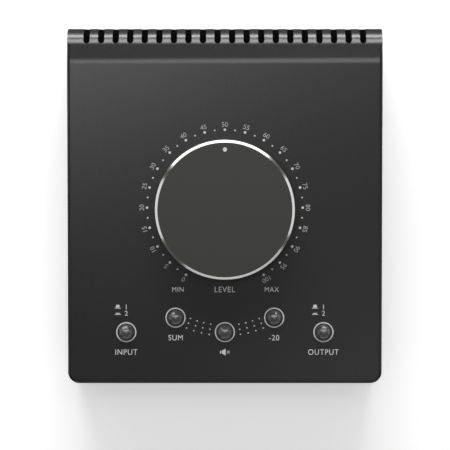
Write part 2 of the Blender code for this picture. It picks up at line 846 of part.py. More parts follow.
def make_standoffs(standoff_material, screw_material, frame):
    low = BOARD_TOP + SEAT_GAP
    radius = BOARD_SCREW_DIAMETER / 2 + SEAT_GAP
    thread = rod(radius, low - OVERRUN, low + STANDOFF_THREAD_DEPTH, SCREW_SIDES)
    post = combined(upright(hexagon(STANDOFF_ACROSS), low, HANG_TOP), ("DIFFERENCE", thread))
    post_mesh = mesh_of("standoff", post)
    shape = screw_shape(
        BOARD_SCREW_DIAMETER, BOARD_SCREW_LENGTH, BOARD_HEAD_DIAMETER, BOARD_HEAD_HEIGHT
    )
    screw_mesh = mesh_of("board_screw", shape)
    for number, (x, y) in enumerate(standoff_places(), 1):
        add_piece(f"standoff_{number}", post_mesh, standoff_material, frame, (x, y, 0.0))
        seat = (x, y, BOARD_UNDERSIDE - SEAT_GAP)
        add_piece(f"board_screw_{number}", screw_mesh, screw_material, frame, seat)


def jack_shape():
    """A socket's block with its threaded nose and its bore, along +Z, measured along the depth."""
    half_width = JACK_WIDTH / 2
    half_height = JACK_HEIGHT / 2
    body = block((-half_width, -half_height, JACK_BACK), (half_width, half_height, JACK_FACE))
    nose = rod(NOSE_DIAMETER / 2, JACK_FACE - JACK_BACK_WALL, NOSE_END, BORE_SIDES)
    bore = rod(JACK_BORE_DIAMETER / 2, JACK_BACK + JACK_BACK_WALL, NOSE_END + OVERRUN, BORE_SIDES)
    return combined(body, ("UNION", nose), ("DIFFERENCE", bore))


def make_jacks(jack_material, nut_material):
    jack = mesh_of("jack", rearward(jack_shape(), 0.0, 0.0))
    bore = NOSE_DIAMETER + 2 * SEAT_GAP
    low = REAR_WALL_BACK + SEAT_GAP
    nut = ring_shape(hexagon(JACK_NUT_ACROSS), bore, low, low + JACK_NUT_THICKNESS)
    nut_mesh = mesh_of("jack_nut", rearward(nut, 0.0, 0.0))
    for name, x, z in jack_places():
        add_piece(f"jack_{name}", jack, jack_material, location=(x, 0.0, z))
        add_piece(f"jack_nut_{name}", nut_mesh, nut_material, location=(x, 0.0, z))


def make_jack_board(material):
    half = CASE_WIDTH / 2 - BOARD_FROM_SIDE
    top = JACK_LOW_ROW + JACK_ROW_PITCH + JACK_HEIGHT / 2 + JACK_BOARD_EDGE
    board = block(
        (-half, JACK_BOARD_FRONT, FLOOR_TOP + JACK_BOARD_LIFT),
        (half, JACK_BOARD_FRONT + BOARD_THICKNESS, top),
    )
    add_piece("jack_board", mesh_of("jack_board", board), material)


def upper_ribbon_end():
    """Where the ribbon leaves the upper socket, as (y, z), and its way there."""
    drop = BOARD_UNDERSIDE - 2 * SEAT_GAP - RIBBON_SOCKET_HEIGHT
    place = Vector((0.0, BOARD_REAR - RIBBON_SOCKET_FROM_REAR, drop))
    point = panel_matrix() @ place
    return Vector((point.y, point.z)), Vector((math.sin(PANEL_SLOPE), -math.cos(PANEL_SLOPE)))


def lower_ribbon_end():
    y = JACK_BOARD_FRONT - 2 * SEAT_GAP - RIBBON_SOCKET_HEIGHT
    return Vector((y, RIBBON_SOCKET_RISE)), Vector((1.0, 0.0))


def ribbon_line():
    """The ribbon's middle line and normals: one smooth curve from the upper socket to the lower."""
    start, down = upper_ribbon_end()
    end, back = lower_ribbon_end()
    handles = (start, start + down * RIBBON_REACH, end - back * RIBBON_REACH, end)
    line = []
    for i in range(RIBBON_STEPS + 1):
        t = i / RIBBON_STEPS
        s = 1 - t
        weights = (s**3, 3 * s * s * t, 3 * s * t * t, t**3)
        point = sum((handle * w for handle, w in zip(handles, weights)), Vector((0.0, 0.0)))
        slopes = (-3 * s * s, 3 * s * s - 6 * s * t, 6 * s * t - 3 * t * t, 3 * t * t)
        way = sum((handle * w for handle, w in zip(handles, slopes)), Vector((0.0, 0.0)))
        line.append((point, Vector((-way.y, way.x)).normalized()))
    return line


def make_ribbon(cable_material, socket_material, frame):
    half = RIBBON_THICKNESS / 2
    line = ribbon_line()
    outline = [point + normal * half for point, normal in line]
    outline += [point - normal * half for point, normal in reversed(line)]
    cable = crosswise(outline, RIBBON_WIDTH / 2)
    add_piece("ribbon_cable", mesh_of("ribbon_cable", cable), cable_material)
    width = RIBBON_SOCKET_WIDTH / 2
    depth = RIBBON_SOCKET_DEPTH / 2
    y = BOARD_REAR - RIBBON_SOCKET_FROM_REAR
    high = BOARD_UNDERSIDE - SEAT_GAP
    upper = block((-width, y - depth, high - RIBBON_SOCKET_HEIGHT), (width, y + depth, high))
    add_piece("ribbon_socket_upper", mesh_of("ribbon_socket", upper), socket_material, frame)
    y = JACK_BOARD_FRONT - SEAT_GAP
    lower = block(
        (-width, y - RIBBON_SOCKET_HEIGHT, RIBBON_SOCKET_RISE - depth),
        (width, y, RIBBON_SOCKET_RISE + depth),
    )
    add_piece("ribbon_socket_lower", mesh_of("ribbon_socket", lower), socket_material)


def main():
    clear_scene()
    steel = finish("powder_coated_steel", "#3a3a3b", 0.45)
    tray_steel = finish("black_coated_steel", "#262627", 0.5)
    rubber = finish("foot_rubber", "#1b1b1b", 0.85)
    knob_metal = finish("dark_anodised_aluminium", "#454544", 0.4, 0.6)
    plastic = finish("glossy_black_plastic", "#2a2a2a", 0.2)
    white_plastic = finish("natural_plastic", "#d8d4c8", 0.5)
    black_plastic = finish("moulded_black_plastic", "#1e1e1e", 0.45)
    zinc = finish("zinc_plated_steel", "#b4b6b8", 0.35, 1.0)
    brass = finish("nickel_plated_brass", "#c3bfb4", 0.3, 1.0)
    board = finish("circuit_board", "#1f5a34", 0.45)
    grey_cable = finish("ribbon_sheath", "#8c8c8e", 0.6)
    panel_frame = add_frame(
        "panel_frame", (0.0, DIAL_Y, panel_height(DIAL_Y)), PANEL_SLOPE
    )
    knob_pivot = add_frame("knob_pivot", (0.0, 0.0, 0.0), parent=panel_frame)
    make_top_cover(steel)
    make_base_tray(tray_steel)
    make_feet(rubber)
    make_case_screws(zinc)
    make_knob(knob_metal, knob_pivot)
    make_knob_hub(black_plastic, knob_pivot)
    make_pot_shaft(zinc, knob_pivot)
    make_pot_body(black_plastic, panel_frame)
    make_pot_fixing(brass, panel_frame)
    make_buttons(plastic, white_plastic, black_plastic, panel_frame)
    make_control_board(board, panel_frame)
    make_standoffs(brass, zinc, panel_frame)
    make_jacks(black_plastic, brass)
    make_jack_board(board)
    make_ribbon(grey_cable, black_plastic, panel_frame)


main()
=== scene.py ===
"""Looks of the desktop studio monitor controller, laid out as an add-on that runs as a script.

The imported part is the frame. The folded cover, the turned knob, the button caps, the printing, the
feet, the screws and the sockets are made here at full detail, and the pieces inside the case keep
their solids and get their finishes. Metres, +Z up, the front at -Y, the dial's axis near the origin."""

import functools
import json
import math

import bmesh
import bpy
from mathutils import Matrix, Vector


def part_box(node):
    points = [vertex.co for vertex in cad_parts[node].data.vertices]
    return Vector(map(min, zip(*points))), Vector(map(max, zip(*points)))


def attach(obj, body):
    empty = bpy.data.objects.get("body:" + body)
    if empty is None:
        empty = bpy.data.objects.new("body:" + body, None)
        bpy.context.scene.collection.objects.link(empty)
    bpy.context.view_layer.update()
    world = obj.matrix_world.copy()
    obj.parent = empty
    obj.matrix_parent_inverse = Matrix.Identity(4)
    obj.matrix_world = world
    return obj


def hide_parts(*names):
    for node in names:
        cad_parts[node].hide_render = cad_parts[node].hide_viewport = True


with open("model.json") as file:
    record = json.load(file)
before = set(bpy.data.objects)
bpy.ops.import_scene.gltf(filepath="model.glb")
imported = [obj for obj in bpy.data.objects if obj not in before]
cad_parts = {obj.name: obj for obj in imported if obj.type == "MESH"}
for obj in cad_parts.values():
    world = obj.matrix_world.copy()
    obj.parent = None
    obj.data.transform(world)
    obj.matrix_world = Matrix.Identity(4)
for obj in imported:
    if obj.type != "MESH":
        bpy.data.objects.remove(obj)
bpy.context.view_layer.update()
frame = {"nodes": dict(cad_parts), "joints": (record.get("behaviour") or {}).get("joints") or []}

bl_info = {
    "name": "Studio Monitor Controller",
    "version": (1, 0, 0),
    "blender": (4, 5, 0),
    "location": "View3D > Sidebar > Controller",
    "description": "Dresses the packed model of a desktop studio monitor controller",
    "category": "Object",
}

COVER_LOW, COVER_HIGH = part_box("top_cover")
TRAY_LOW, TRAY_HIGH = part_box("base_tray")
SOCKET_LOW, SOCKET_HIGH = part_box("jack_lower_1")
CASE_WIDTH = COVER_HIGH.x - COVER_LOW.x
FRONT_Y = COVER_LOW.y
REAR_Y = COVER_HIGH.y

# The panel's own frame: x to the right, y up the panel to the rear, z out of it, on the dial's axis
KNOB_TURN = next(joint for joint in frame["joints"] if joint["name"] == "knob_turn")
PANEL_SLOPE = math.atan2(-KNOB_TURN["axis"][1], KNOB_TURN["axis"][2])
DIAL_PLACE = Vector(KNOB_TURN["pos_m"])
PANEL = Matrix.Translation(DIAL_PLACE) @ Matrix.Rotation(PANEL_SLOPE, 4, "X")

BUTTON_NAMES = ("input", "sum", "mute", "dim", "output")
SOCKET_NAMES = [f"{row}_{column}" for row in ("lower", "upper") for column in (1, 2, 3, 4)]
FOOT_NAMES = [f"foot_{end}_{side}" for end in ("front", "rear") for side in ("left", "right")]
CASE_SCREW_NAMES = [f"case_screw_{number}" for number in (1, 2, 3, 4)]

# Cuts overrun what they cut, and points closer than the weld are one
OVERRUN = 0.001
WELD = 0.0000001
SMOOTH_ANGLE = math.radians(30.0)
TURNED_SIDES = 96
SMALL_SIDES = 40


def linear(colour):
    """The linear RGB of an sRGB hex value."""
    channels = [int(colour[i : i + 2], 16) / 255 for i in (1, 3, 5)]
    return [c / 12.92 if c <= 0.04045 else ((c + 0.055) / 1.055) ** 2.4 for c in channels]


def length_property(name, default, description):
    return bpy.props.FloatProperty(
        name=name, description=description, default=default, min=0.0, precision=5, unit="LENGTH"
    )


def angle_property(name, degrees, description):
    return bpy.props.FloatProperty(
        name=name, description=description, default=math.radians(degrees), subtype="ANGLE"
    )


def colour_property(name, colour, description):
    return bpy.props.FloatVectorProperty(
        name=name, description=description, default=linear(colour), subtype="COLOR", min=0, max=1
    )


def level_property(name, default, description):
    return bpy.props.FloatProperty(name=name, description=description, default=default, min=0.0)


class CoverSizes(bpy.types.PropertyGroup):
    sheet: length_property("Sheet", 0.0015, "Thickness of the cover's steel")
    corner: length_property("Corner", 0.0043, "Radius of the two front corners, seen from above")
    fold: length_property("Fold", 0.0012, "Radius where the panel folds down into the walls")
    crest_from_rear: length_property("Crest from rear", 0.0131, "How far the crest's centre lies in front")
    crest: length_property("Crest", 0.0136, "Radius of the bend between the panel and the rear strip")
    strip_slope: angle_property("Strip slope", 10.0, "How steeply the strip falls to the rear")
    round: length_property("Rear round", 0.008, "Radius of the rolled rear edge")
    skirt: length_property("Skirt", 0.0056, "Drop of the rear wall below the round's centre")
    slot_pitch: length_property("Slot pitch", 0.0055, "From one vent slot to the next")
    slot_width: length_property("Slot width", 0.00225, "Width of a vent slot")
    slot_start: length_property("Slot start", 0.0007, "From the strip's end to a slot's front end")
    slot_fall: length_property("Slot fall", 0.0019, "How far a slot runs down the rear wall")
    slot_margin: length_property("Slot margin", 0.00725, "From the side wall to the first slot's middle")
    # The screen is the near-black gauze behind the slots, a sheet of painted shade
    screen: length_property("Screen", 0.00018, "Thickness of the gauze behind the slots")
    screen_gap: length_property("Screen gap", 0.00006, "Glue between the gauze and the steel")
    lip: length_property("Lip", 0.0001, "Ease that the coating leaves on the edges of holes and slots")
    hole_gap: length_property("Hole gap", 0.0003, "Gap round what passes through the panel")
    tab_length: length_property("Tab length", 0.012, "Length of the tabs that take the case screws")
    tab_reach: length_property("Tab reach", 0.009, "How far the tabs fold in")
    colour: colour_property("Coat", "#202020", "Colour of the powder coat")
    tray_colour: colour_property("Tray coat", "#131314", "Colour of the tray's powder coat")


class KnobSizes(bpy.types.PropertyGroup):
    chamfer: length_property("Chamfer", 0.001, "Width of the polished cut round the face")
    wall: length_property("Wall", 0.0024, "Thickness of the skirt's wall")
    top: length_property("Top", 0.0025, "Thickness of the top")
    edge: length_property("Edge", 0.00008, "Radius left on the turned edges")
    foot_cut: length_property("Foot cut", 0.0003, "Small chamfer round the knob's lower edge")
    mark: length_property("Mark", 0.0018, "Diameter of the pointer's dimple")
    mark_radius: length_property("Mark radius", 0.0225, "From the axis to the pointer's dimple")
    mark_depth: length_property("Mark depth", 0.0003, "Depth of the pointer's dimple")
    mark_fill: length_property("Mark fill", 0.00022, "How much of the dimple the paint fills")
    colour: colour_property("Anodised", "#4f4f4d", "Colour of the anodised face")
    cut_colour: colour_property("Cut", "#dfdfde", "Colour of the bare polished cut")


class ButtonSizes(bpy.types.PropertyGroup):
    diameter: length_property("Cap", 0.0059, "Diameter of a cap above its flange")
    dome: length_property("Dome", 0.00225, "Height of the cap's domed top")
    flange: length_property("Flange", 0.0078, "Diameter of the flange below the panel")
    flange_top: length_property("Flange top", 0.0018, "How far the flange lies below the panel's outside")
    flange_thickness: length_property("Flange thickness", 0.0012, "Thickness of the flange")
    plunger: length_property("Plunger", 0.0033, "Side of the square hole for the plunger")
    plunger_roof: length_property("Plunger roof", 0.0003, "Depth of that hole's end below the panel")
    ring: length_property("Ring", 0.00765, "Outer diameter of the printed ring")
    ring_width: length_property("Ring width", 0.00046, "Width of the printed ring's line")
    colour: colour_property("Cap", "#393939", "Colour of the cap's plastic")


class PrintSizes(bpy.types.PropertyGroup):
    thickness: length_property("Ink", 0.00003, "Height of the ink over the coat")
    scale_radius: length_property("Scale radius", 0.02945, "Radius of the circle of dots round the knob")
    large_dot: length_property("Large dot", 0.00098, "Diameter of a numbered dot")
    small_dot: length_property("Small dot", 0.00062, "Diameter of a dot between two numbers")
    number_radius: length_property("Number radius", 0.03145, "Radius of the circle of numbers")
    number_height: length_property("Number height", 0.00176, "Height of the numbers")
    sweep: angle_property("Sweep", 300.0, "Angle from the first number to the last")
    dial_word_drop: length_property("Dial word drop", 0.03105, "From the axis to the dial's words")
    end_word_side: length_property("End word side", 0.0178, "From the middle to the words at both ends")
    word_height: length_property("Word height", 0.0021, "Height of the words")
    small_height: length_property("Small height", 0.0018, "Height of the small words and figures")
    word_drop: length_property("Word drop", 0.0076, "From a button to the word in front of it")
    sign_rise: length_property("Sign rise", 0.0096, "From an outer button to the signs behind it")
    sign_pitch: length_property("Sign pitch", 0.0024, "From the upper sign to the lower")
    sign_side: length_property("Sign side", 0.0032, "From the figures to the signs beside them")
    arc_dot: length_property("Arc dot", 0.00053, "Diameter of a dot in the arcs between the buttons")
    arc_centre: length_property("Arc centre", 0.0106, "How far the arcs' centre lies in front of the axis")
    arc_radius: length_property("Arc radius", 0.0341, "Radius of the inmost arc of dots")
    arc_pitch: length_property("Arc pitch", 0.00196, "From one arc of dots to the next")
    arc_step: angle_property("Arc step", 4.5, "Angle from one dot of an arc to the next")
    number_colour: colour_property("Scale ink", "#b0b0b0", "Colour of the numbers' ink")
    colour: colour_property("Ink", "#dcdcdc", "Colour of the words' ink")


class FittingSizes(bpy.types.PropertyGroup):
    nose_length: length_property("Nose length", 0.0044, "Length of a socket's threaded nose")
    nose_root: length_property("Thread depth", 0.0003, "Depth of the nose's thread")
    thread_pitch: length_property("Thread pitch", 0.00075, "Pitch of the nose's thread")
    nose: length_property("Nose", 0.0094, "Diameter of a socket's nose")
    bore: length_property("Bore", 0.0065, "Diameter of a socket's bore")
    mouth: length_property("Mouth", 0.0005, "Chamfer at the mouth of the bore")
    back_wall: length_property("Back wall", 0.002, "Thickness behind the bore")
    sleeve: length_property("Sleeve", 0.0022, "Length of the metal sleeve in the bore")
    nut_across: length_property("Nut", 0.0127, "Width across the flats of a socket's nut")
    foot_edge: length_property("Foot edge", 0.0006, "Radius round the foot's sole")
    foot_dish: length_property("Foot dish", 0.0004, "Depth of the dish in the foot's sole")
    screw_shank: length_property("Screw shank", 0.0029, "Diameter of a case screw's thread")
    screw_head: length_property("Screw head", 0.0016, "Height of a case screw's head")
    screw_socket: length_property("Screw socket", 0.0025, "Width of the hexagon in a screw's head")


class StudioSettings(bpy.types.PropertyGroup):
    camera_height: length_property("Camera height", 0.9216, "Height of the camera over the table")
    camera_y: bpy.props.FloatProperty(
        name="Camera y", description="The camera's place along y", default=-0.000225, unit="LENGTH"
    )
    lens: bpy.props.FloatProperty(
        name="Lens", description="Focal length in mm", default=184.0, min=1.0
    )
    shift_x: bpy.props.FloatProperty(
        name="Shift x", description="Shift of the frame to the right", default=0.0003
    )
    shift_y: bpy.props.FloatProperty(
        name="Shift y", description="Upward shift of the frame", default=-0.0433
    )
    floor_side: length_property("Floor", 12.0, "Side of the square floor")
    # The grey card under the object is seen only in reflections: painted shade on the floor that the edges
    # mirror
    mat_side: length_property("Mat", 0.8, "Side of the grey card under the object")
    floor_lift: level_property("Floor lift", 0.42, "White that the floor adds where it is looked at")
    strip_level: level_property("Strip box", 13.6, "Brightness of the strip light behind, 1 is white")
    low_level: level_property("Low box", 1.35, "Brightness of the low softbox behind, 1 is white")
    high_level: level_property("High box", 9.6, "Brightness of the high softbox behind, 1 is white")
    top_level: level_property("Top box", 4.85, "Brightness of the softbox overhead, 1 is white")
    front_level: level_property("Front box", 1.05, "Brightness of the box at the front, 1 is white")
    cap_level: level_property("Cap boxes", 4.6, "Brightness of the boxes for the caps, 1 is white")
    wall_level: level_property("Walls", 1.0, "Brightness of the studio near the horizon")
    ceiling_level: level_property("Ceiling", 0.06, "Brightness of the studio overhead")


SETTINGS = {
    "cover_sizes": CoverSizes,
    "knob_sizes": KnobSizes,
    "button_sizes": ButtonSizes,
    "print_sizes": PrintSizes,
    "fitting_sizes": FittingSizes,
    "studio_settings": StudioSettings,
}


# Shapes


def arc(centre, radius, start, end, steps):
    """Points of an arc in a plane, its angles counted from the first axis."""
    turn = (end - start) / steps
    return [
        (
            centre[0] + radius * math.cos(start + turn * i),
            centre[1] + radius * math.sin(start + turn * i),
        )
        for i in range(steps + 1)
    ]


def circle(radius, sides):
    return arc((0.0, 0.0), radius, 0.0, 2 * math.pi, sides)[:-1]


def hexagon(across):
    return circle(across / math.sqrt(3), 6)


def eased(outline, radius, steps=4):
    """An open outline whose corners are rounded, by a radius or by as much as their sides allow."""
    points = [outline[0]]
    for before, corner, after in zip(outline, outline[1:], outline[2:]):
        corner = Vector(corner)
        back = Vector(before) - corner
        ahead = Vector(after) - corner
        cut = min(radius, back.length / 2, ahead.length / 2)
        start = corner + back.normalized() * cut
        end = corner + ahead.normalized() * cut
        for i in range(steps + 1):
            t = i / steps
            points.append(tuple(start * (1 - t) ** 2 + corner * 2 * t * (1 - t) + end * t**2))
    return [*points, outline[-1]]


def extruded(points, way):
    """A prism: the flat outline through the points, pushed along a vector."""
    bm = bmesh.new()
    face = bm.faces.new([bm.verts.new(point) for point in points])
    grown = bmesh.ops.extrude_face_region(bm, geom=[face])
    far = [item for item in grown["geom"] if isinstance(item, bmesh.types.BMVert)]
    bmesh.ops.translate(bm, verts=far, vec=way)
    bmesh.ops.recalc_face_normals(bm, faces=bm.faces)
    return bm


def upright(outline, low, high):
    """A prism along Z over a plan outline."""
    return extruded([(x, y, low) for x, y in outline], (0.0, 0.0, high - low))


def crosswise(outline, half_width):
    """A prism along X over an outline of (y, z) points."""
    points = [(-half_width, y, z) for y, z in outline]
    return extruded(points, (2 * half_width, 0.0, 0.0))


def block(low, high):
    outline = [(low[0], low[1]), (high[0], low[1]), (high[0], high[1]), (low[0], high[1])]
    return upright(outline, low[2], high[2])


def turned(outline, sides=TURNED_SIDES, closed=False):
    """Spins an outline of (radius, height) points round Z: from axis to axis, or a closed ring."""
    bm = bmesh.new()
    verts = [bm.verts.new((radius, 0.0, height)) for radius, height in outline]
    pairs = list(zip(verts, verts[1:]))
    if closed:
        pairs.append((verts[-1], verts[0]))
    edges = [bm.edges.new(pair) for pair in pairs]
    bmesh.ops.spin(
        bm,
        geom=verts + edges,
        cent=(0.0, 0.0, 0.0),
        axis=(0.0, 0.0, 1.0),
        angle=2 * math.pi,
        steps=sides,
        use_merge=True,
    )
    bmesh.ops.remove_doubles(bm, verts=bm.verts, dist=WELD)
    bmesh.ops.recalc_face_normals(bm, faces=bm.faces)
    return bm


def rod(radius, low, high, sides=SMALL_SIDES):
    return turned([(0.0, low), (radius, low), (radius, high), (0.0, high)], sides)


def moved(bm, matrix):
    bmesh.ops.transform(bm, matrix=matrix, verts=bm.verts)
    return bm


def shifted(bm, x, y, z=0.0):
    return moved(bm, Matrix.Translation((x, y, z)))


def joined_shapes(shapes):
    """Several shapes in one mesh, each with its own closed skin."""
    bm = bmesh.new()
    for shape in shapes:
        mesh = bpy.data.meshes.new("shape")
        shape.to_mesh(mesh)
        shape.free()
        bm.from_mesh(mesh)
        bpy.data.meshes.remove(mesh)
    return bm


def loose_object(bm):
    mesh = bpy.data.meshes.new("shape")
    bm.to_mesh(mesh)
    bm.free()
    item = bpy.data.objects.new("shape", mesh)
    bpy.context.scene.collection.objects.link(item)
    return item


def combined(base, *steps):
    """The base shape after each (operation, shape) step, by Boolean modifiers."""
    target = loose_object(base)
    tools = []
    for operation, shape in steps:
        tools.append(loose_object(shape))
        modifier = target.modifiers.new("step", "BOOLEAN")
        modifier.operation = operation
        modifier.solver = "EXACT"
        modifier.object = tools[-1]
    graph = bpy.context.evaluated_depsgraph_get()
    mesh = bpy.data.meshes.new_from_object(target.evaluated_get(graph))
    result = bmesh.new()
    result.from_mesh(mesh)
    bpy.data.meshes.remove(mesh)
    for item in [target, *tools]:
        data = item.data
        bpy.data.objects.remove(item, do_unlink=True)
        bpy.data.meshes.remove(data)
    return result


def mesh_of(name, bm, materials):
    """A mesh that is smooth but for its sharp edges."""
    mesh = bpy.data.meshes.new(name)
    bm.to_mesh(mesh)
    bm.free()
    for material in materials:
        mesh.materials.append(material)
    mesh.shade_smooth()
    mesh.set_sharp_from_angle(angle=SMOOTH_ANGLE)
    return mesh


def add_piece(name, mesh, body, stands_for=(), place=Matrix.Identity(4)):
    """One visible piece: in place, riding on its body, and standing for its solids."""
    item = bpy.data.objects.new(name, mesh)
    bpy.context.scene.collection.objects.link(item)
    item.matrix_world = place
    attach(item, body)
    if stands_for:
        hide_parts(*stands_for)
    return item


def ease_edges(item, width, segments=3):
    """Rounds the hard edges of a piece and keeps its flats flat."""
    bevel = item.modifiers.new("eased_edges", "BEVEL")
    bevel.width = width
    bevel.segments = segments
    bevel.limit_method = "ANGLE"
    bevel.angle_limit = math.radians(40.0)
    flatten_faces(item)


def flatten_faces(item):
    shading = item.modifiers.new("flat_faces", "WEIGHTED_NORMAL")
    shading.keep_sharp = True


# Materials


def add_node(tree, kind, settings=None, values=None, links=None):
    """Adds a node, sets its properties and sockets, and links earlier nodes' sockets into it."""
    node = tree.nodes.new(kind)
    for name, value in (settings or {}).items():
        setattr(node, name, value)
    for name, value in (values or {}).items():
        node.inputs[name].default_value = value
    for name, socket in (links or {}).items():
        tree.links.new(socket, node.inputs[name])
    return node


def start_material(name, colour, roughness, metallic=0.0, ior=1.5):
    """A Principled material; returns it, its node tree, its shader and the object's coordinates."""
    material = bpy.data.materials.new(name)
    material.use_nodes = True
    tree = material.node_tree
    shader = tree.nodes["Principled BSDF"]
    shader.inputs["Base Color"].default_value = (*colour, 1.0)
    shader.inputs["Roughness"].default_value = roughness
    shader.inputs["Metallic"].default_value = metallic
    shader.inputs["IOR"].default_value = ior
    material.diffuse_color = (*colour, 1.0)
    place = add_node(tree, "ShaderNodeTexCoord").outputs["Object"]
    return material, tree, shader, place


def wander_colour(tree, shader, place, colour, patch, share):
    """Lets the colour drift by a share of itself over patches of a real size."""
    noise = add_node(
        tree, "ShaderNodeTexNoise", values={"Scale": 1 / patch, "Detail": 3.0}, links={"Vector": place}
    )
    shade = add_node(
        tree,
        "ShaderNodeMapRange",
        values={"From Min": 0.3, "From Max": 0.7, "To Min": 1 - share, "To Max": 1 + share},
        links={"Value": noise.outputs["Fac"]},
    )
    tint = add_node(
        tree,
        "ShaderNodeVectorMath",
        {"operation": "SCALE"},
        values={"Vector": colour},
        links={"Scale": shade.outputs["Result"]},
    )
    tree.links.new(tint.outputs["Vector"], shader.inputs["Base Color"])


def wander_roughness(tree, shader, place, patch, low, high):
    """Lets the gloss drift between two roughnesses over patches of a real size."""
    noise = add_node(
        tree, "ShaderNodeTexNoise", values={"Scale": 1 / patch, "Detail": 4.0}, links={"Vector": place}
    )
    gloss = add_node(
        tree,
        "ShaderNodeMapRange",
        values={"From Min": 0.3, "From Max": 0.7, "To Min": low, "To Max": high},
        links={"Value": noise.outputs["Fac"]},
    )
    tree.links.new(gloss.outputs["Result"], shader.inputs["Roughness"])


def raise_grain(tree, shader, place, *layers):
    """Bumps of noise, each layer a (grain size, height) in metres."""
    normal = None
    for size, height in layers:
        noise = add_node(
            tree, "ShaderNodeTexNoise", values={"Scale": 1 / size, "Detail": 2.0}, links={"Vector": place}
        )
        links = {"Height": noise.outputs["Fac"]}
        if normal:
            links["Normal"] = normal
        bump = add_node(
            tree, "ShaderNodeBump", values={"Strength": 1.0, "Distance": height}, links=links
        )
        normal = bump.outputs["Normal"]
    tree.links.new(normal, shader.inputs["Normal"])


def cut_grooves(tree, shader, place, pitch, height, kind, direction):
    """Fine parallel or ring-shaped tool marks at a real pitch."""
    waves = add_node(
        tree,
        "ShaderNodeTexWave",
        {"wave_type": kind, f"{kind.lower()}_direction": direction},
        values={"Scale": math.pi / (10 * pitch), "Distortion": 0.4, "Detail": 1.0},
        links={"Vector": place},
    )
    bump = add_node(
        tree,
        "ShaderNodeBump",
        values={"Strength": 1.0, "Distance": height},
        links={"Height": waves.outputs["Fac"]},
    )
    tree.links.new(bump.outputs["Normal"], shader.inputs["Normal"])


@functools.cache
def satin_powder_coat():
    """Polyester powder, sprayed on steel sheet and baked.

    It flows into a skin with long shallow waves under a finer grain, so its highlights are soft bands
    with slightly broken edges. The grain is drawn at 0.3 mm, coarser than the real 0.1 mm, to show."""
    colour = bpy.context.scene.cover_sizes.colour
    material, tree, shader, place = start_material("satin_powder_coat", colour, 0.24)
    wander_colour(tree, shader, place, colour, 0.0004, 0.05)
    wander_roughness(tree, shader, place, 0.0006, 0.22, 0.27)
    raise_grain(tree, shader, place, (0.0016, 0.0000025), (0.0003, 0.000001))
    return material


@functools.cache
def black_powder_coat():
    """Textured black powder on the tray: flatter and grainier than the cover's coat."""
    colour = bpy.context.scene.cover_sizes.tray_colour
    material, tree, shader, place = start_material("black_powder_coat", colour, 0.75)
    wander_colour(tree, shader, place, colour, 0.0007, 0.12)
    raise_grain(tree, shader, place, (0.0007, 0.00001))
    return material


@functools.cache
def black_primer():
    """Near-black coat on the faces inside the slots, dead matt and uneven: painted shade, standing in for the
    shade that falls in them.
    """
    colour = linear("#070707")
    material, tree, shader, place = start_material("black_primer", colour, 0.95)
    shader.inputs["Specular IOR Level"].default_value = 0.1
    wander_colour(tree, shader, place, colour, 0.0005, 0.2)
    raise_grain(tree, shader, place, (0.0005, 0.000004))
    return material


@functools.cache
def nylon_gauze():
    """Near-black gauze in a plain weave: painted shade, a dark sheet behind the slots that stands in for the
    shade inside the case.

    The threads are drawn 0.35 mm apart, coarser than the real 0.1 mm, to show."""
    colour = linear("#040404")
    material, tree, shader, place = start_material("nylon_gauze", colour, 1.0, ior=1.53)
    shader.inputs["Specular IOR Level"].default_value = 0.05
    cut_grooves(tree, shader, place, 0.00035, 0.00008, "BANDS", "X")
    return material


@functools.cache
def anodised_aluminium():
    """Turned aluminium, bead blasted and anodised dark grey.

    The blasting leaves a fine even grain, so the face spreads what it mirrors into one flat tone. The
    grain is drawn at 0.25 mm, coarser than the real 0.08 mm, to show."""
    colour = bpy.context.scene.knob_sizes.colour
    material, tree, shader, place = start_material("anodised_aluminium", colour, 0.5, 1.0)
    wander_colour(tree, shader, place, colour, 0.0003, 0.05)
    raise_grain(tree, shader, place, (0.00025, 0.000002))
    return material


@functools.cache
def cut_aluminium():
    """Bare aluminium where a diamond tool cut the chamfer after anodising.

    It is nearly a mirror, with ring-shaped tool marks that blur it a little. They are drawn 0.12 mm
    apart, coarser than the real 0.05 mm, to show."""
    colour = bpy.context.scene.knob_sizes.cut_colour
    material, tree, shader, place = start_material("diamond_cut_aluminium", colour, 0.19, 1.0)
    cut_grooves(tree, shader, place, 0.00012, 0.0000008, "RINGS", "Z")
    return material


@functools.cache
def glossy_abs():
    """ABS moulded in a polished tool: a clear sharp highlight over a dark grey, with faint wear."""
    colour = bpy.context.scene.button_sizes.colour
    material, tree, shader, place = start_material("glossy_abs", colour, 0.1, ior=1.54)
    wander_colour(tree, shader, place, colour, 0.0015, 0.06)
    wander_roughness(tree, shader, place, 0.0008, 0.08, 0.14)
    return material


def pad_print(name, colour):
    """Two-part ink laid down by a silicone pad: thin, matt, and a little uneven where it dried."""
    material, tree, shader, place = start_material(name, colour, 0.55)
    wander_colour(tree, shader, place, colour, 0.0003, 0.08)
    raise_grain(tree, shader, place, (0.0002, 0.000002))
    return material


@functools.cache
def light_ink():
    return pad_print("light_pad_print", bpy.context.scene.print_sizes.colour)


@functools.cache
def scale_ink():
    return pad_print("grey_pad_print", bpy.context.scene.print_sizes.number_colour)


@functools.cache
def nickel_plate():
    """Nickel on machined brass: warm and bright, streaked by the cutting tool under the plating."""
    colour = linear("#c9c5ba")
    material, tree, shader, place = start_material("nickel_plated_brass", colour, 0.24, 1.0)
    wander_roughness(tree, shader, place, 0.0012, 0.2, 0.32)
    cut_grooves(tree, shader, place, 0.0002, 0.000001, "BANDS", "Z")
    return material


@functools.cache
def zinc_plate():
    """Zinc on steel, blue passivated: cool grey and cloudy rather than bright."""
    colour = linear("#b3b8be")
    material, tree, shader, place = start_material("zinc_plated_steel", colour, 0.36, 1.0)
    wander_colour(tree, shader, place, colour, 0.0009, 0.1)
    wander_roughness(tree, shader, place, 0.0007, 0.28, 0.46)
    return material


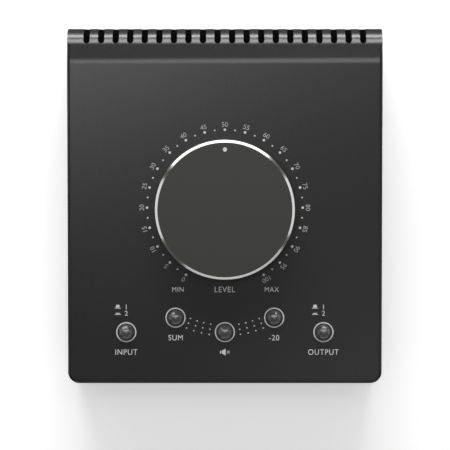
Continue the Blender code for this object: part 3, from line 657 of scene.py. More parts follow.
@functools.cache
def black_nylon():
    """Glass-filled nylon, moulded: black, half matt, with the cloudy skin that the fibres leave."""
    colour = linear("#1b1b1d")
    material, tree, shader, place = start_material("black_nylon", colour, 0.45, ior=1.53)
    wander_roughness(tree, shader, place, 0.001, 0.38, 0.52)
    raise_grain(tree, shader, place, (0.0004, 0.000004))
    return material


@functools.cache
def natural_acetal():
    """Acetal without pigment, moulded: milky white and slippery looking."""
    colour = linear("#dedacd")
    material, tree, shader, place = start_material("natural_acetal", colour, 0.35, ior=1.48)
    wander_colour(tree, shader, place, colour, 0.002, 0.03)
    return material


@functools.cache
def solder_mask():
    """Green lacquer over glass laminate: copper tracks show through it as paler, raised lines."""
    colour = linear("#17532f")
    material, tree, shader, place = start_material("solder_mask", colour, 0.3, ior=1.55)
    tracks = add_node(
        tree,
        "ShaderNodeTexBrick",
        values={
            "Color1": (*linear("#1b6238"), 1.0),
            "Color2": (*linear("#1f6b3d"), 1.0),
            "Mortar": (*linear("#124527"), 1.0),
            "Scale": 1.0,
            "Brick Width": 0.0042,
            "Row Height": 0.0011,
            "Mortar Size": 0.0003,
        },
        links={"Vector": place},
    )
    tree.links.new(tracks.outputs["Color"], shader.inputs["Base Color"])
    bump = add_node(
        tree,
        "ShaderNodeBump",
        values={"Strength": 1.0, "Distance": 0.00003},
        links={"Height": tracks.outputs["Fac"]},
    )
    bump.invert = True
    tree.links.new(bump.outputs["Normal"], shader.inputs["Normal"])
    return material


@functools.cache
def ribbon_pvc():
    """Grey PVC over wires side by side, 1.27 mm apart, so the sheath is ribbed like corduroy."""
    colour = linear("#8a8b8e")
    material, tree, shader, place = start_material("ribbon_pvc", colour, 0.45, ior=1.53)
    cut_grooves(tree, shader, place, 0.00127, 0.0002, "BANDS", "X")
    return material


@functools.cache
def moulded_rubber():
    """Black synthetic rubber: matt, with a dusty bloom and the grain of its mould."""
    colour = linear("#191919")
    material, tree, shader, place = start_material("moulded_rubber", colour, 0.8, ior=1.52)
    wander_colour(tree, shader, place, colour, 0.0012, 0.15)
    raise_grain(tree, shader, place, (0.0004, 0.00001))
    return material


# The folded cover


def panel_height(y):
    return DIAL_PLACE.z + (y - DIAL_PLACE.y) * math.tan(PANEL_SLOPE)


def crest_centre(sizes):
    y = REAR_Y - sizes.crest_from_rear
    touch = panel_height(y - sizes.crest * math.sin(PANEL_SLOPE))
    return y, touch - sizes.crest * math.cos(PANEL_SLOPE)


def round_centre(sizes):
    y, z = crest_centre(sizes)
    slope = sizes.strip_slope
    strip_start = y + sizes.crest * math.sin(slope)
    strip_end = REAR_Y - sizes.round + sizes.round * math.sin(slope)
    fall = (strip_end - strip_start) * math.tan(slope)
    top = z + sizes.crest * math.cos(slope) - fall
    return REAR_Y - sizes.round, top - sizes.round * math.cos(slope)


def top_line(sizes, inset, crest_steps=16, round_steps=36):
    """The case's (y, z) line from the front over the crest to the rear, at a depth below its outside."""
    quarter = math.pi / 2
    front = FRONT_Y - OVERRUN
    points = [(front, panel_height(front) - inset / math.cos(PANEL_SLOPE))]
    points += arc(
        crest_centre(sizes),
        sizes.crest - inset,
        quarter + PANEL_SLOPE,
        quarter - sizes.strip_slope,
        crest_steps,
    )
    points += arc(
        round_centre(sizes), sizes.round - inset, quarter - sizes.strip_slope, 0.0, round_steps
    )
    return points


def plan_outline(sizes, inset, steps=16):
    """The case from above: rounded front corners, open past the rear, at a depth inside its walls."""
    half = CASE_WIDTH / 2
    rear = REAR_Y + 2 * OVERRUN
    y = FRONT_Y + sizes.corner
    radius = sizes.corner - inset
    quarter = math.pi / 2
    left = arc((-half + sizes.corner, y), radius, 2 * quarter, 3 * quarter, steps)
    right = arc((half - sizes.corner, y), radius, 3 * quarter, 4 * quarter, steps)
    return [(-half + inset, rear), *left, *right, (half - inset, rear)]


def case_block(sizes, inset, rear_outline, low):
    """The case as a solid, at a depth inside its walls: its plan cut to its outline from the side."""
    high = COVER_HIGH.z + OVERRUN
    outline = [*top_line(sizes, inset), *rear_outline, (FRONT_Y - OVERRUN, low - OVERRUN)]
    plan = upright(plan_outline(sizes, inset), low, high)
    return combined(plan, ("INTERSECT", crosswise(outline, CASE_WIDTH)))


def round_folds(bm, sizes):
    """Rounds the edges where the panel folds down into the front and side walls."""
    fold_end = round_centre(sizes)[0] + sizes.round * math.sin(sizes.strip_slope)
    steep = math.sin(SMOOTH_ANGLE)
    bmesh.ops.bisect_plane(
        bm,
        geom=[*bm.verts, *bm.edges, *bm.faces],
        dist=WELD,
        plane_co=(0.0, fold_end, 0.0),
        plane_no=(0.0, 1.0, 0.0),
    )
    bm.normal_update()
    folds = []
    for edge in bm.edges:
        rises = sorted(face.normal.z for face in edge.link_faces)
        on_panel = max(vert.co.y for vert in edge.verts) < fold_end + WELD
        if len(rises) == 2 and abs(rises[0]) < steep and rises[1] > steep and on_panel:
            folds.append(edge)
    bmesh.ops.bevel(
        bm,
        geom=folds,
        offset=sizes.fold,
        segments=8,
        profile=0.5,
        affect="EDGES",
        clamp_overlap=False,
    )
    bmesh.ops.remove_doubles(bm, verts=bm.verts, dist=WELD)
    return bm


def slot_stations(sizes, growth=0.0, end_steps=8, arc_steps=18):
    """Each station of a slot grown by a margin: its point on the case's line, normal and half width."""
    y, z = round_centre(sizes)
    radius = sizes.slot_width / 2 + growth
    arc_length = sizes.round * (math.pi / 2 - sizes.strip_slope) - sizes.slot_start
    low = -growth
    high = arc_length + sizes.slot_fall + growth
    step = math.pi / 2 / (end_steps + 1)
    ends = [radius * (1 - math.cos(step * (i + 1))) for i in range(end_steps)]
    first = low + radius
    middle = [first + (arc_length - first) * i / arc_steps for i in range(arc_steps + 1)]
    places = [low + end for end in ends] + middle + [high - end for end in [radius, *ends[::-1]]]
    stations = []
    for place in places:
        end = min(place - low, high - place, radius)
        half = math.sqrt(radius**2 - (radius - end) ** 2)
        angle = sizes.strip_slope + (sizes.slot_start + min(place, arc_length)) / sizes.round
        drop = max(place - arc_length, 0.0)
        normal = (math.sin(angle), math.cos(angle))
        point = (y + sizes.round * normal[0], z + sizes.round * normal[1] - drop)
        stations.append((point, normal, half))
    return stations


def slot_tool(sizes):
    """One slot's cut: it follows the rear round, has round ends and flares through the coat's lip."""
    bm = bmesh.new()
    rings = []
    inner = -sizes.sheet - OVERRUN
    for narrow, wide in zip(slot_stations(sizes), slot_stations(sizes, sizes.lip + OVERRUN)):
        ring = []
        for (point, normal, half), side, depth in (
            (narrow, -1, inner),
            (narrow, 1, inner),
            (narrow, 1, -sizes.lip),
            (wide, 1, OVERRUN),
            (wide, -1, OVERRUN),
            (narrow, -1, -sizes.lip),
        ):
            place = (side * half, point[0] + normal[0] * depth, point[1] + normal[1] * depth)
            ring.append(bm.verts.new(place))
        rings.append(ring)
    for ring, following in zip(rings, rings[1:]):
        for i in range(6):
            j = (i + 1) % 6
            bm.faces.new((ring[i], ring[j], following[j], following[i]))
    for ring in (rings[0], rings[-1]):
        bm.faces.new((ring[0], ring[1], ring[2], ring[5]))
        bm.faces.new((ring[5], ring[2], ring[3], ring[4]))
    bmesh.ops.recalc_face_normals(bm, faces=bm.faces)
    return bm


def slot_tools(sizes):
    count = round((CASE_WIDTH - 2 * sizes.slot_margin) / sizes.slot_pitch) + 1
    middle = (count - 1) / 2
    return joined_shapes(
        [shifted(slot_tool(sizes), (i - middle) * sizes.slot_pitch, 0.0) for i in range(count)]
    )


def on_panel(node):
    """The middle of a node, in the panel's own frame."""
    low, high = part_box(node)
    return PANEL.inverted() @ ((low + high) / 2)


def radius_of(node):
    low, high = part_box(node)
    return (high.x - low.x) / 2


def panel_holes(sizes, buttons):
    """The holes for the potentiometer's bushing and the five buttons, through the panel."""
    low = -sizes.sheet - OVERRUN
    bushing = radius_of("pot_nut") / math.sqrt(3)
    tools = [rod(bushing, low, OVERRUN, TURNED_SIDES)]
    for name in BUTTON_NAMES:
        middle = on_panel(f"{name}_plunger")
        hole = rod(buttons.diameter / 2 + sizes.hole_gap, low, OVERRUN, TURNED_SIDES)
        tools.append(shifted(hole, middle.x, middle.y))
    return moved(joined_shapes(tools), PANEL)


def screw_tabs(sizes):
    """The four tabs, folded in just above the tray's floor."""
    low = COVER_LOW.z + sizes.sheet + sizes.hole_gap
    shapes = []
    for name in CASE_SCREW_NAMES:
        screw_low, screw_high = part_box(name)
        x = (screw_low.x + screw_high.x) / 2
        y = (screw_low.y + screw_high.y) / 2
        outer = math.copysign(CASE_WIDTH / 2 - sizes.sheet / 2, x)
        inner = math.copysign(CASE_WIDTH / 2 - sizes.sheet - sizes.tab_reach, x)
        half = sizes.tab_length / 2
        shapes.append(
            block(
                (min(outer, inner), y - half, low),
                (max(outer, inner), y + half, low + sizes.sheet),
            )
        )
    return joined_shapes(shapes)


def screw_holes(sizes, shank):
    low = COVER_LOW.z + sizes.sheet
    tools = []
    for name in CASE_SCREW_NAMES:
        screw_low, screw_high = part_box(name)
        hole = rod(shank / 2 + sizes.hole_gap, low, low + sizes.sheet + OVERRUN)
        middle = (screw_low + screw_high) / 2
        tools.append(shifted(hole, middle.x, middle.y))
    return joined_shapes(tools)


def coat_lean(point, sizes):
    """How far the cover's outside leans to the rear at a point, from facing straight up."""
    y, z = round_centre(sizes)
    lean = math.atan2(point.y - y, point.z - z)
    if point.y > y and lean > sizes.strip_slope:
        return min(lean, math.pi / 2)
    y, z = crest_centre(sizes)
    lean = math.atan2(point.y - y, point.z - z)
    return min(max(lean, -PANEL_SLOPE), sizes.strip_slope)


def outward(point, sizes):
    lean = coat_lean(point, sizes)
    return Vector((0.0, math.sin(lean), math.cos(lean)))


def shade_coat(mesh, sizes):
    """Shades the outside by the sheet's true curve and broad faces as flats, and gives the faces inside the
    slots a near-black painted shade.
    """
    own = [Vector() for loop in mesh.loops]
    slots_start = round_centre(sizes)[0]
    slots_low = round_centre(sizes)[1] - sizes.slot_fall - sizes.lip
    slots_side = CASE_WIDTH / 2 - sizes.slot_margin / 2
    for face in mesh.polygons:
        facing = face.normal.dot(outward(face.center, sizes))
        if facing > math.cos(SMOOTH_ANGLE / 10):
            for index in face.loop_indices:
                corner = mesh.vertices[mesh.loops[index].vertex_index].co
                own[index] = outward(corner, sizes)
        elif face.area > sizes.slot_width * sizes.slot_pitch:
            for index in face.loop_indices:
                own[index] = face.normal
        # The faces inside the slots take the second material, a near-black painted shade
        among_slots = abs(face.center.x) < slots_side and face.center.z > slots_low
        if among_slots and face.center.y > slots_start and abs(facing) < math.sin(SMOOTH_ANGLE):
            face.material_index = 1
    mesh.normals_split_custom_set(own)


def round_lips(bm, sizes):
    """Rounds the outer edges of the panel's holes, where the powder melts over them."""
    bm.normal_update()
    lips = []
    for edge in bm.edges:
        if len(edge.link_faces) != 2 or edge.calc_face_angle() < SMOOTH_ANGLE * 2:
            continue
        if all(
            abs((PANEL.inverted() @ vert.co).z) < sizes.lip / 10
            and abs(vert.co.x) < CASE_WIDTH / 2 - sizes.corner
            and FRONT_Y + sizes.corner < vert.co.y < REAR_Y - 2 * sizes.crest
            for vert in edge.verts
        ):
            lips.append(edge)
    bmesh.ops.bevel(
        bm,
        geom=lips,
        offset=sizes.lip,
        segments=2,
        profile=0.5,
        affect="EDGES",
        clamp_overlap=False,
    )
    return bm


class MONITOR_OT_top_cover(bpy.types.Operator):
    """Make the folded cover with its crest, rolled rear edge, vent slots, holes and tabs"""

    bl_idname = "monitor.top_cover"
    bl_label = "Top cover"

    def execute(self, context):
        sizes = context.scene.cover_sizes
        skirt = round_centre(sizes)[1] - sizes.skirt
        low = COVER_LOW.z
        outside = case_block(sizes, 0.0, [(REAR_Y, low - OVERRUN)], low)
        rear = REAR_Y + OVERRUN
        behind = [(REAR_Y - sizes.sheet, skirt), (rear, skirt), (rear, low - 2 * OVERRUN)]
        hollow = case_block(sizes, sizes.sheet, behind, low - OVERRUN)
        cover = combined(
            round_folds(outside, sizes),
            ("DIFFERENCE", hollow),
            ("UNION", screw_tabs(sizes)),
            ("DIFFERENCE", slot_tools(sizes)),
            ("DIFFERENCE", panel_holes(sizes, context.scene.button_sizes)),
            ("DIFFERENCE", screw_holes(sizes, context.scene.fitting_sizes.screw_shank)),
        )
        # The second coat is the near-black painted shade for the faces inside the slots
        coats = [satin_powder_coat(), black_primer()]
        mesh = mesh_of("cover_sheet", round_lips(cover, sizes), coats)
        shade_coat(mesh, sizes)
        add_piece("cover_sheet", mesh, "case", ["top_cover"])
        self.add_dust_screen(sizes)
        return {"FINISHED"}

    def add_dust_screen(self, sizes):
        """A strip of near-black gauze glued inside the rear round: painted shade, so that the slots show
        black.
        """
        y, z = round_centre(sizes)
        low = z - sizes.slot_fall - sizes.slot_width
        outline = []
        for depth, start, end in (
            (sizes.screen_gap, sizes.strip_slope, math.pi / 2),
            (sizes.screen_gap + sizes.screen, math.pi / 2, sizes.strip_slope),
        ):
            radius = sizes.round - sizes.sheet - depth
            curve = arc((y, z), radius, math.pi / 2 - start, math.pi / 2 - end, 24)
            foot = (y + radius, low)
            outline += [*curve, foot] if start < end else [foot, *curve]
        half = CASE_WIDTH / 2 - sizes.slot_margin / 2
        mesh = mesh_of("shade_screen", crosswise(outline, half), [nylon_gauze()])
        add_piece("shade_screen", mesh, "case")


# The knob


class MONITOR_OT_level_knob(bpy.types.Operator):
    """Make the turned knob with its polished chamfer and its painted pointer dimple"""

    bl_idname = "monitor.level_knob"
    bl_label = "Level knob"

    def execute(self, context):
        sizes = context.scene.knob_sizes
        radius = radius_of("volume_knob")
        corners = [PANEL.inverted() @ vert.co for vert in frame["nodes"]["volume_knob"].data.vertices]
        low = min(corner.z for corner in corners)
        top = max(corner.z for corner in corners)
        outline = [
            (0.0, top - sizes.top),
            (radius - sizes.wall, top - sizes.top),
            (radius - sizes.wall, low),
            (radius - sizes.foot_cut, low),
            (radius, low + sizes.foot_cut),
            (radius, top - sizes.chamfer),
            (radius - sizes.chamfer, top),
            (0.0, top),
        ]
        blank = turned(eased(outline, sizes.edge), TURNED_SIDES * 2)
        mark = sizes.mark / 2
        floor = top - sizes.mark_depth
        dimple = shifted(rod(mark, floor, top + OVERRUN), 0.0, sizes.mark_radius)
        cap = combined(blank, ("DIFFERENCE", dimple))
        mesh = mesh_of("knob_cap", cap, [anodised_aluminium(), cut_aluminium()])
        for face in mesh.polygons:
            tilted = math.sin(SMOOTH_ANGLE) < face.normal.z < math.cos(SMOOTH_ANGLE)
            if tilted and face.center.z > top - sizes.chamfer:
                face.material_index = 1
        knob = add_piece("knob_cap", mesh, "knob", ["volume_knob"], PANEL)
        flatten_faces(knob)
        edge = mark - sizes.edge
        level = floor + sizes.mark_fill
        paint = turned([(0.0, floor), (edge, floor), (edge, level), (0.0, level - sizes.edge)])
        mesh = mesh_of("knob_mark", shifted(paint, 0.0, sizes.mark_radius), [light_ink()])
        add_piece("knob_mark", mesh, "knob", place=PANEL)
        return {"FINISHED"}


# The buttons


class MONITOR_OT_button_caps(bpy.types.Operator):
    """Make the five domed button caps"""

    bl_idname = "monitor.button_caps"
    bl_label = "Button caps"

    def execute(self, context):
        sizes = context.scene.button_sizes
        radius = sizes.diameter / 2
        corners = [PANEL.inverted() @ vert.co for vert in frame["nodes"]["mute_button"].data.vertices]
        top = max(corner.z for corner in corners)
        low = -sizes.flange_top - sizes.flange_thickness
        ball = (radius**2 + sizes.dome**2) / (2 * sizes.dome)
        rim = math.asin((ball - sizes.dome) / ball)
        dome = arc((0.0, top - ball), ball, rim, math.pi / 2, 20)
        outline = [
            (0.0, low),
            (sizes.flange / 2, low),
            (sizes.flange / 2, -sizes.flange_top),
            (radius, -sizes.flange_top),
            *dome[:-1],
            (0.0, top),
        ]
        half = sizes.plunger / 2
        socket = block((-half, -half, low - OVERRUN), (half, half, -sizes.plunger_roof))
        cap = combined(turned(outline), ("DIFFERENCE", socket))
        mesh = mesh_of("button_cap", cap, [glossy_abs()])
        for name in BUTTON_NAMES:
            middle = on_panel(f"{name}_plunger")
            place = PANEL @ Matrix.Translation((middle.x, middle.y, 0.0))
            add_piece(
                f"{name}_cap", mesh, f"{name}_push", [f"{name}_button"], place
            )
        return {"FINISHED"}


# The printing


def lettering(text, height, thickness, spacing=1.0, weight=0.0, narrow=1.0):
    """A word as raised ink, its middle on the origin, its capitals as high as asked."""
    curve = bpy.data.curves.new("lettering", "FONT")
    curve.body = text
    curve.space_character = spacing
    curve.offset = weight
    curve.extrude = 0.5
    curve.resolution_u = 6
    item = bpy.data.objects.new("lettering", curve)
    bpy.context.scene.collection.objects.link(item)
    graph = bpy.context.evaluated_depsgraph_get()
    mesh = bpy.data.meshes.new_from_object(item.evaluated_get(graph))
    bpy.data.objects.remove(item, do_unlink=True)
    bpy.data.curves.remove(curve)
    bm = bmesh.new()
    bm.from_mesh(mesh)
    bpy.data.meshes.remove(mesh)
    bmesh.ops.remove_doubles(bm, verts=bm.verts, dist=0.0001)
    xs = [vert.co.x for vert in bm.verts]
    ys = [vert.co.y for vert in bm.verts]
    scale = height / (max(ys) - min(ys))
    middle = Vector(((max(xs) + min(xs)) / 2, (max(ys) + min(ys)) / 2, -0.5))
    size = Matrix.Diagonal((scale * narrow, scale, thickness, 1.0))
    return moved(bm, size @ Matrix.Translation(-middle))


def dial_place(radius, share, sizes):
    """A place on a circle round the knob, at a share of the sweep, turned so that its top is outward."""
    angle = sizes.sweep * (0.5 - share)
    return Matrix.Rotation(angle, 4, "Z") @ Matrix.Translation((0.0, radius, 0.0))


def print_piece(name, shapes, material):
    mesh = mesh_of(name, joined_shapes(shapes), [material])
    add_piece(name, mesh, "case", place=PANEL)


class MONITOR_OT_dial_print(bpy.types.Operator):
    """Print the scale of dots and numbers round the knob"""

    bl_idname = "monitor.dial_print"
    bl_label = "Dial printing"

    def execute(self, context):
        sizes = context.scene.print_sizes
        ink = sizes.thickness
        numbers = range(0, 101, 5)
        intervals = 2 * (len(numbers) - 1)
        dots = []
        for i in range(intervals + 1):
            diameter = sizes.small_dot if i % 2 else sizes.large_dot
            place = dial_place(sizes.scale_radius, i / intervals, sizes)
            dots.append(moved(rod(diameter / 2, 0.0, ink), place))
        print_piece("scale_dots", dots, light_ink())
        words = []
        for number in numbers:
            word = lettering(str(number), sizes.number_height, ink)
            words.append(moved(word, dial_place(sizes.number_radius, number / 100, sizes)))
        print_piece("scale_numbers", words, scale_ink())
        return {"FINISHED"}


def bar(left, right, low, high, taper, thickness):
    """A flat bar of ink whose top is narrower than its foot by a taper at each side."""
    outline = [(left, low), (right, low), (right - taper, high), (left + taper, high)]
    return upright(outline, 0.0, thickness)


def push_sign(height, rise, thickness):
    """A button seen from the side, standing out or pushed in, over the line of its panel."""
    width = height * 1.3
    line = bar(-width / 2, width / 2, 0.0, height / 8, 0.0, thickness)
    knob = bar(-width / 3, width / 3, height / 5, height / 5 + rise, rise / 5, thickness)
    return joined_shapes([line, knob])


def mute_sign(height, thickness):
    """A loudspeaker with a cross beside it."""
    unit = height / 10
    magnet = bar(-7 * unit, -5 * unit, -2 * unit, 2 * unit, 0.0, thickness)
    outline = [(-4 * unit, -2 * unit), (unit, -5 * unit), (unit, 5 * unit), (-4 * unit, 2 * unit)]
    shapes = [magnet, upright(outline, 0.0, thickness)]
    for turn in (-1, 1):
        stroke = bar(-2.8 * unit, 2.8 * unit, -0.4 * unit, 0.4 * unit, 0.0, thickness)
        place = Matrix.Translation((4.8 * unit, 0.0, 0.0)) @ Matrix.Rotation(turn * math.pi / 4, 4, "Z")
        shapes.append(moved(stroke, place))
    return joined_shapes(shapes)


def button_rings(sizes, buttons):
    outer = buttons.ring / 2
    inner = outer - buttons.ring_width
    shapes = []
    for name in BUTTON_NAMES:
        middle = on_panel(f"{name}_plunger")
        outline = [(inner, 0.0), (outer, 0.0), (outer, sizes.thickness), (inner, sizes.thickness)]
        shapes.append(shifted(turned(outline, closed=True), middle.x, middle.y))
    return shapes


def words(sizes):
    """The words round the dial and in front of the buttons."""
    places = [
        ("LEVEL", 0.0, -sizes.dial_word_drop, sizes.word_height),
        ("MIN", -sizes.end_word_side, -sizes.dial_word_drop, sizes.small_height),
        ("MAX", sizes.end_word_side, -sizes.dial_word_drop, sizes.small_height),
    ]
    for name, word in (("input", "INPUT"), ("sum", "SUM"), ("dim", "-20"), ("output", "OUTPUT")):
        middle = on_panel(f"{name}_plunger")
        places.append((word, middle.x, middle.y - sizes.word_drop, sizes.word_height))
    return [
        shifted(lettering(word, height, sizes.thickness, 1.12, 0.0, 0.92), x, y)
        for word, x, y, height in places
    ]


def signs(sizes):
    """The mute sign, and the signs and figures behind the outer buttons."""
    ink = sizes.thickness
    middle = on_panel("mute_plunger")
    sign = mute_sign(sizes.word_height * 1.25, ink)
    shapes = [shifted(sign, middle.x, middle.y - sizes.word_drop)]
    for name in ("input", "output"):
        middle = on_panel(f"{name}_plunger")
        for row, rise in enumerate((sizes.small_height * 0.6, sizes.small_height * 0.2)):
            y = middle.y + sizes.sign_rise - row * sizes.sign_pitch
            sign = push_sign(sizes.small_height, rise, ink)
            shapes.append(shifted(sign, middle.x - sizes.sign_side, y - sizes.small_height / 3))
            figure = lettering(str(row + 1), sizes.small_height, ink)
            shapes.append(shifted(figure, middle.x, y))
    return shapes


def dot_arcs(sizes):
    """Three arcs of dots on each side, from the middle button to its neighbours."""
    shapes = []
    for row in range(3):
        radius = sizes.arc_radius + row * sizes.arc_pitch
        for step in (2, 3, 4, 5):
            for side in (-1, 1):
                angle = side * step * sizes.arc_step
                dot = rod(sizes.arc_dot / 2, 0.0, sizes.thickness)
                x = radius * math.sin(angle)
                y = -sizes.arc_centre - radius * math.cos(angle)
                shapes.append(shifted(dot, x, y))
    return shapes


class MONITOR_OT_legends(bpy.types.Operator):
    """Print the words, signs, rings and arcs of dots round the buttons"""

    bl_idname = "monitor.legends"
    bl_label = "Legends"

    def execute(self, context):
        sizes = context.scene.print_sizes
        print_piece("button_rings", button_rings(sizes, context.scene.button_sizes), light_ink())
        print_piece("legend_words", words(sizes), light_ink())
        print_piece("legend_signs", signs(sizes), light_ink())
        print_piece("dot_arcs", dot_arcs(sizes), light_ink())
        return {"FINISHED"}


# Feet, screws and sockets


class MONITOR_OT_feet(bpy.types.Operator):
    """Make the four moulded rubber feet"""

    bl_idname = "monitor.feet"
    bl_label = "Feet"

    def execute(self, context):
        sizes = context.scene.fitting_sizes
        low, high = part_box(FOOT_NAMES[0])
        radius = (high.x - low.x) / 2
        height = high.z - low.z
        inner = radius / 2
        outline = [
            (0.0, sizes.foot_dish),
            (inner - sizes.foot_dish, sizes.foot_dish),
            (inner, 0.0),
            (radius - sizes.foot_edge, 0.0),
            (radius, sizes.foot_edge),
            (radius, height),
            (0.0, height),
        ]
        mesh = mesh_of("foot", turned(eased(outline, sizes.foot_edge / 2)), [moulded_rubber()])
        for name in FOOT_NAMES:
            low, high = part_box(name)
            middle = (low + high) / 2
            place = Matrix.Translation((middle.x, middle.y, low.z))
            foot = add_piece(f"rubber_{name}", mesh, "case", [name], place)
            flatten_faces(foot)
        return {"FINISHED"}


class MONITOR_OT_case_screws(bpy.types.Operator):
    """Make the four case screws with domed heads and hexagon sockets"""

    bl_idname = "monitor.case_screws"
    bl_label = "Case screws"

    def execute(self, context):
        sizes = context.scene.fitting_sizes
        low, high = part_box(CASE_SCREW_NAMES[0])
        head = (high.x - low.x) / 2
        shank = sizes.screw_shank / 2
        rise = sizes.screw_head
        length = high.z - low.z
        outline = [
            (0.0, 0.0),
            (head / 2, rise / 16),
            (head * 3 / 4, rise / 4),
            (head, rise * 3 / 4),
            (head, rise),
            (shank, rise),
            (shank, length - shank / 2),
            (shank / 2, length),
            (0.0, length),
        ]
        socket = upright(hexagon(sizes.screw_socket), -OVERRUN, rise / 2)
        screw = combined(turned(outline, SMALL_SIDES), ("DIFFERENCE", socket))
        mesh = mesh_of("case_screw", screw, [zinc_plate()])
        for name in CASE_SCREW_NAMES:
            low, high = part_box(name)
            middle = (low + high) / 2
            place = Matrix.Translation((middle.x, middle.y, low.z))
            add_piece(f"plated_{name}", mesh, "case", [name], place)
        return {"FINISHED"}


def socket_shape(sizes):
    """A socket's block, threaded nose and stepped bore along +Z, the nose's end at height zero."""
    length = SOCKET_HIGH.y - SOCKET_LOW.y
    half_width = (SOCKET_HIGH.x - SOCKET_LOW.x) / 2
    half_height = (SOCKET_HIGH.z - SOCKET_LOW.z) / 2
    face = -sizes.nose_length
    body = block((-half_width, -half_height, -length), (half_width, half_height, face))
    outer = sizes.nose / 2
    root = outer - sizes.nose_root
    count = int(sizes.nose_length / sizes.thread_pitch)
    thread = [(0.0, face - OVERRUN), (outer, face - OVERRUN), (outer, face)]
    for i in range(count):
        low = face + i * sizes.thread_pitch
        thread += [(root, low + sizes.thread_pitch / 2), (outer, low + sizes.thread_pitch)]
    thread += [(outer - sizes.mouth / 2, 0.0), (0.0, 0.0)]
    bore = sizes.bore / 2
    way = [
        (0.0, -length + sizes.back_wall),
        (bore, -length + sizes.back_wall),
        (bore, -sizes.mouth),
        (bore + sizes.mouth + OVERRUN, OVERRUN),
        (0.0, OVERRUN),
    ]
    return combined(body, ("UNION", turned(thread)), ("DIFFERENCE", turned(way)))


def nut_shape(sizes, thickness):
    """A hexagon nut with both faces chamfered, along +Z from zero."""
    corner = sizes.nut_across / math.sqrt(3)
    flat = sizes.nut_across / 2 - sizes.mouth / 2
    fall = (corner - flat) * math.tan(SMOOTH_ANGLE)
    cone = [(0.0, 0.0), (flat, 0.0), (corner, fall), (corner, thickness - fall), (flat, thickness)]
    blank = combined(
        upright(hexagon(sizes.nut_across), 0.0, thickness),
        ("INTERSECT", turned([*cone, (0.0, thickness)])),
    )
    hole = sizes.nose / 2 + sizes.nose_root
    bore = [
        (0.0, -OVERRUN),
        (hole + sizes.mouth + OVERRUN, -OVERRUN),
        (hole, sizes.mouth),
        (hole, thickness - sizes.mouth),
        (hole + sizes.mouth + OVERRUN, thickness + OVERRUN),
        (0.0, thickness + OVERRUN),
    ]
    return combined(blank, ("DIFFERENCE", turned(bore)))


class MONITOR_OT_sockets(bpy.types.Operator):
    """Make the eight sockets in the rear wall with their sleeves and nuts"""

    bl_idname = "monitor.sockets"
    bl_label = "Sockets"

    def execute(self, context):
        sizes = context.scene.fitting_sizes
        socket_mesh = mesh_of("socket", socket_shape(sizes), [black_nylon()])
        bore = sizes.bore / 2
        skin = sizes.nose_root / 4
        sleeve = [(bore - skin, -sizes.mouth - sizes.sleeve), (bore - skin, -sizes.mouth)]
        sleeve += [(bore + skin, -sizes.mouth), (bore + skin, -sizes.mouth - sizes.sleeve)]
        sleeve_mesh = mesh_of("socket_sleeve", turned(sleeve, closed=True), [nickel_plate()])
        nut_low, nut_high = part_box("jack_nut_lower_1")
        nut_mesh = mesh_of(
            "socket_nut", nut_shape(sizes, nut_high.y - nut_low.y), [nickel_plate()]
        )
        rearward = Matrix.Rotation(-math.pi / 2, 4, "X")
        for name in SOCKET_NAMES:
            low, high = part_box(f"jack_{name}")
            middle = (low + high) / 2
            place = Matrix.Translation((middle.x, high.y, middle.z)) @ rearward
            stands_for = [f"jack_{name}"]
            add_piece(f"socket_{name}", socket_mesh, "case", stands_for, place)
            add_piece(f"socket_sleeve_{name}", sleeve_mesh, "case", place=place)
            place = Matrix.Translation((middle.x, nut_low.y, middle.z)) @ rearward
            stands_for = [f"jack_nut_{name}"]
            nut = add_piece(
                f"socket_nut_{name}", nut_mesh, "case", stands_for, place
            )
            ease_edges(nut, sizes.nose_root / 4, 2)
        return {"FINISHED"}


# Pieces that keep their solids

KEPT_FINISHES = {
    "base_tray": black_powder_coat,
    "knob_hub": black_nylon,
    "pot_shaft": zinc_plate,
    "pot_body": black_nylon,
    "pot_washer": nickel_plate,
    "pot_nut": nickel_plate,
    "control_board": solder_mask,
    "jack_board": solder_mask,
    "ribbon_cable": ribbon_pvc,
    "ribbon_socket_upper": black_nylon,
    "ribbon_socket_lower": black_nylon,
    **{f"{name}_plunger": natural_acetal for name in BUTTON_NAMES},
    **{f"{name}_switch": black_nylon for name in BUTTON_NAMES},
    **{f"standoff_{number}": nickel_plate for number in (1, 2, 3, 4)},
    **{f"board_screw_{number}": zinc_plate for number in (1, 2, 3, 4)},
}


class MONITOR_OT_kept_pieces(bpy.types.Operator):
    """Finish the tray and the pieces inside the case, which keep their solids"""

    bl_idname = "monitor.kept_pieces"
    bl_label = "Tray and inner pieces"

    def execute(self, context):
        for name, finish in KEPT_FINISHES.items():
            node = frame["nodes"][name]
            for slot in node.material_slots:
                slot.material = finish()
        return {"FINISHED"}


# The studio


def softbox(name, azimuth, elevation, distance, width, height, level, roll=0.0):
    """A rectangular lamp that faces the dial, its level the white that a mirror shows of it."""
    light = bpy.data.lights.new(name, "AREA")
    light.shape = "RECTANGLE"
    light.size = width
    light.size_y = height
    light.energy = level * math.pi * width * height
    lamp = bpy.data.objects.new(name, light)
    bpy.context.scene.collection.objects.link(lamp)
    azimuth = math.radians(azimuth)
    elevation = math.radians(elevation)
    reach = math.cos(elevation)
    away = Vector((math.sin(azimuth) * reach, math.cos(azimuth) * reach, math.sin(elevation)))
    facing = away.to_track_quat("Z", "Y").to_matrix().to_4x4()
    turn = Matrix.Rotation(math.radians(roll), 4, "Z")
    lamp.matrix_world = Matrix.Translation(DIAL_PLACE + away * distance) @ facing @ turn
    lamp.visible_camera = False
    return lamp


def link_lamp(lamp, items, state):
    """Keeps a lamp for these pieces alone, or off them."""
    group = bpy.data.collections.new(f"{lamp.name}_pieces")
    for item in items:
        group.objects.link(item)
    for link in group.collection_objects:
        link.light_linking.link_state = state
    lamp.light_linking.receiver_collection = group


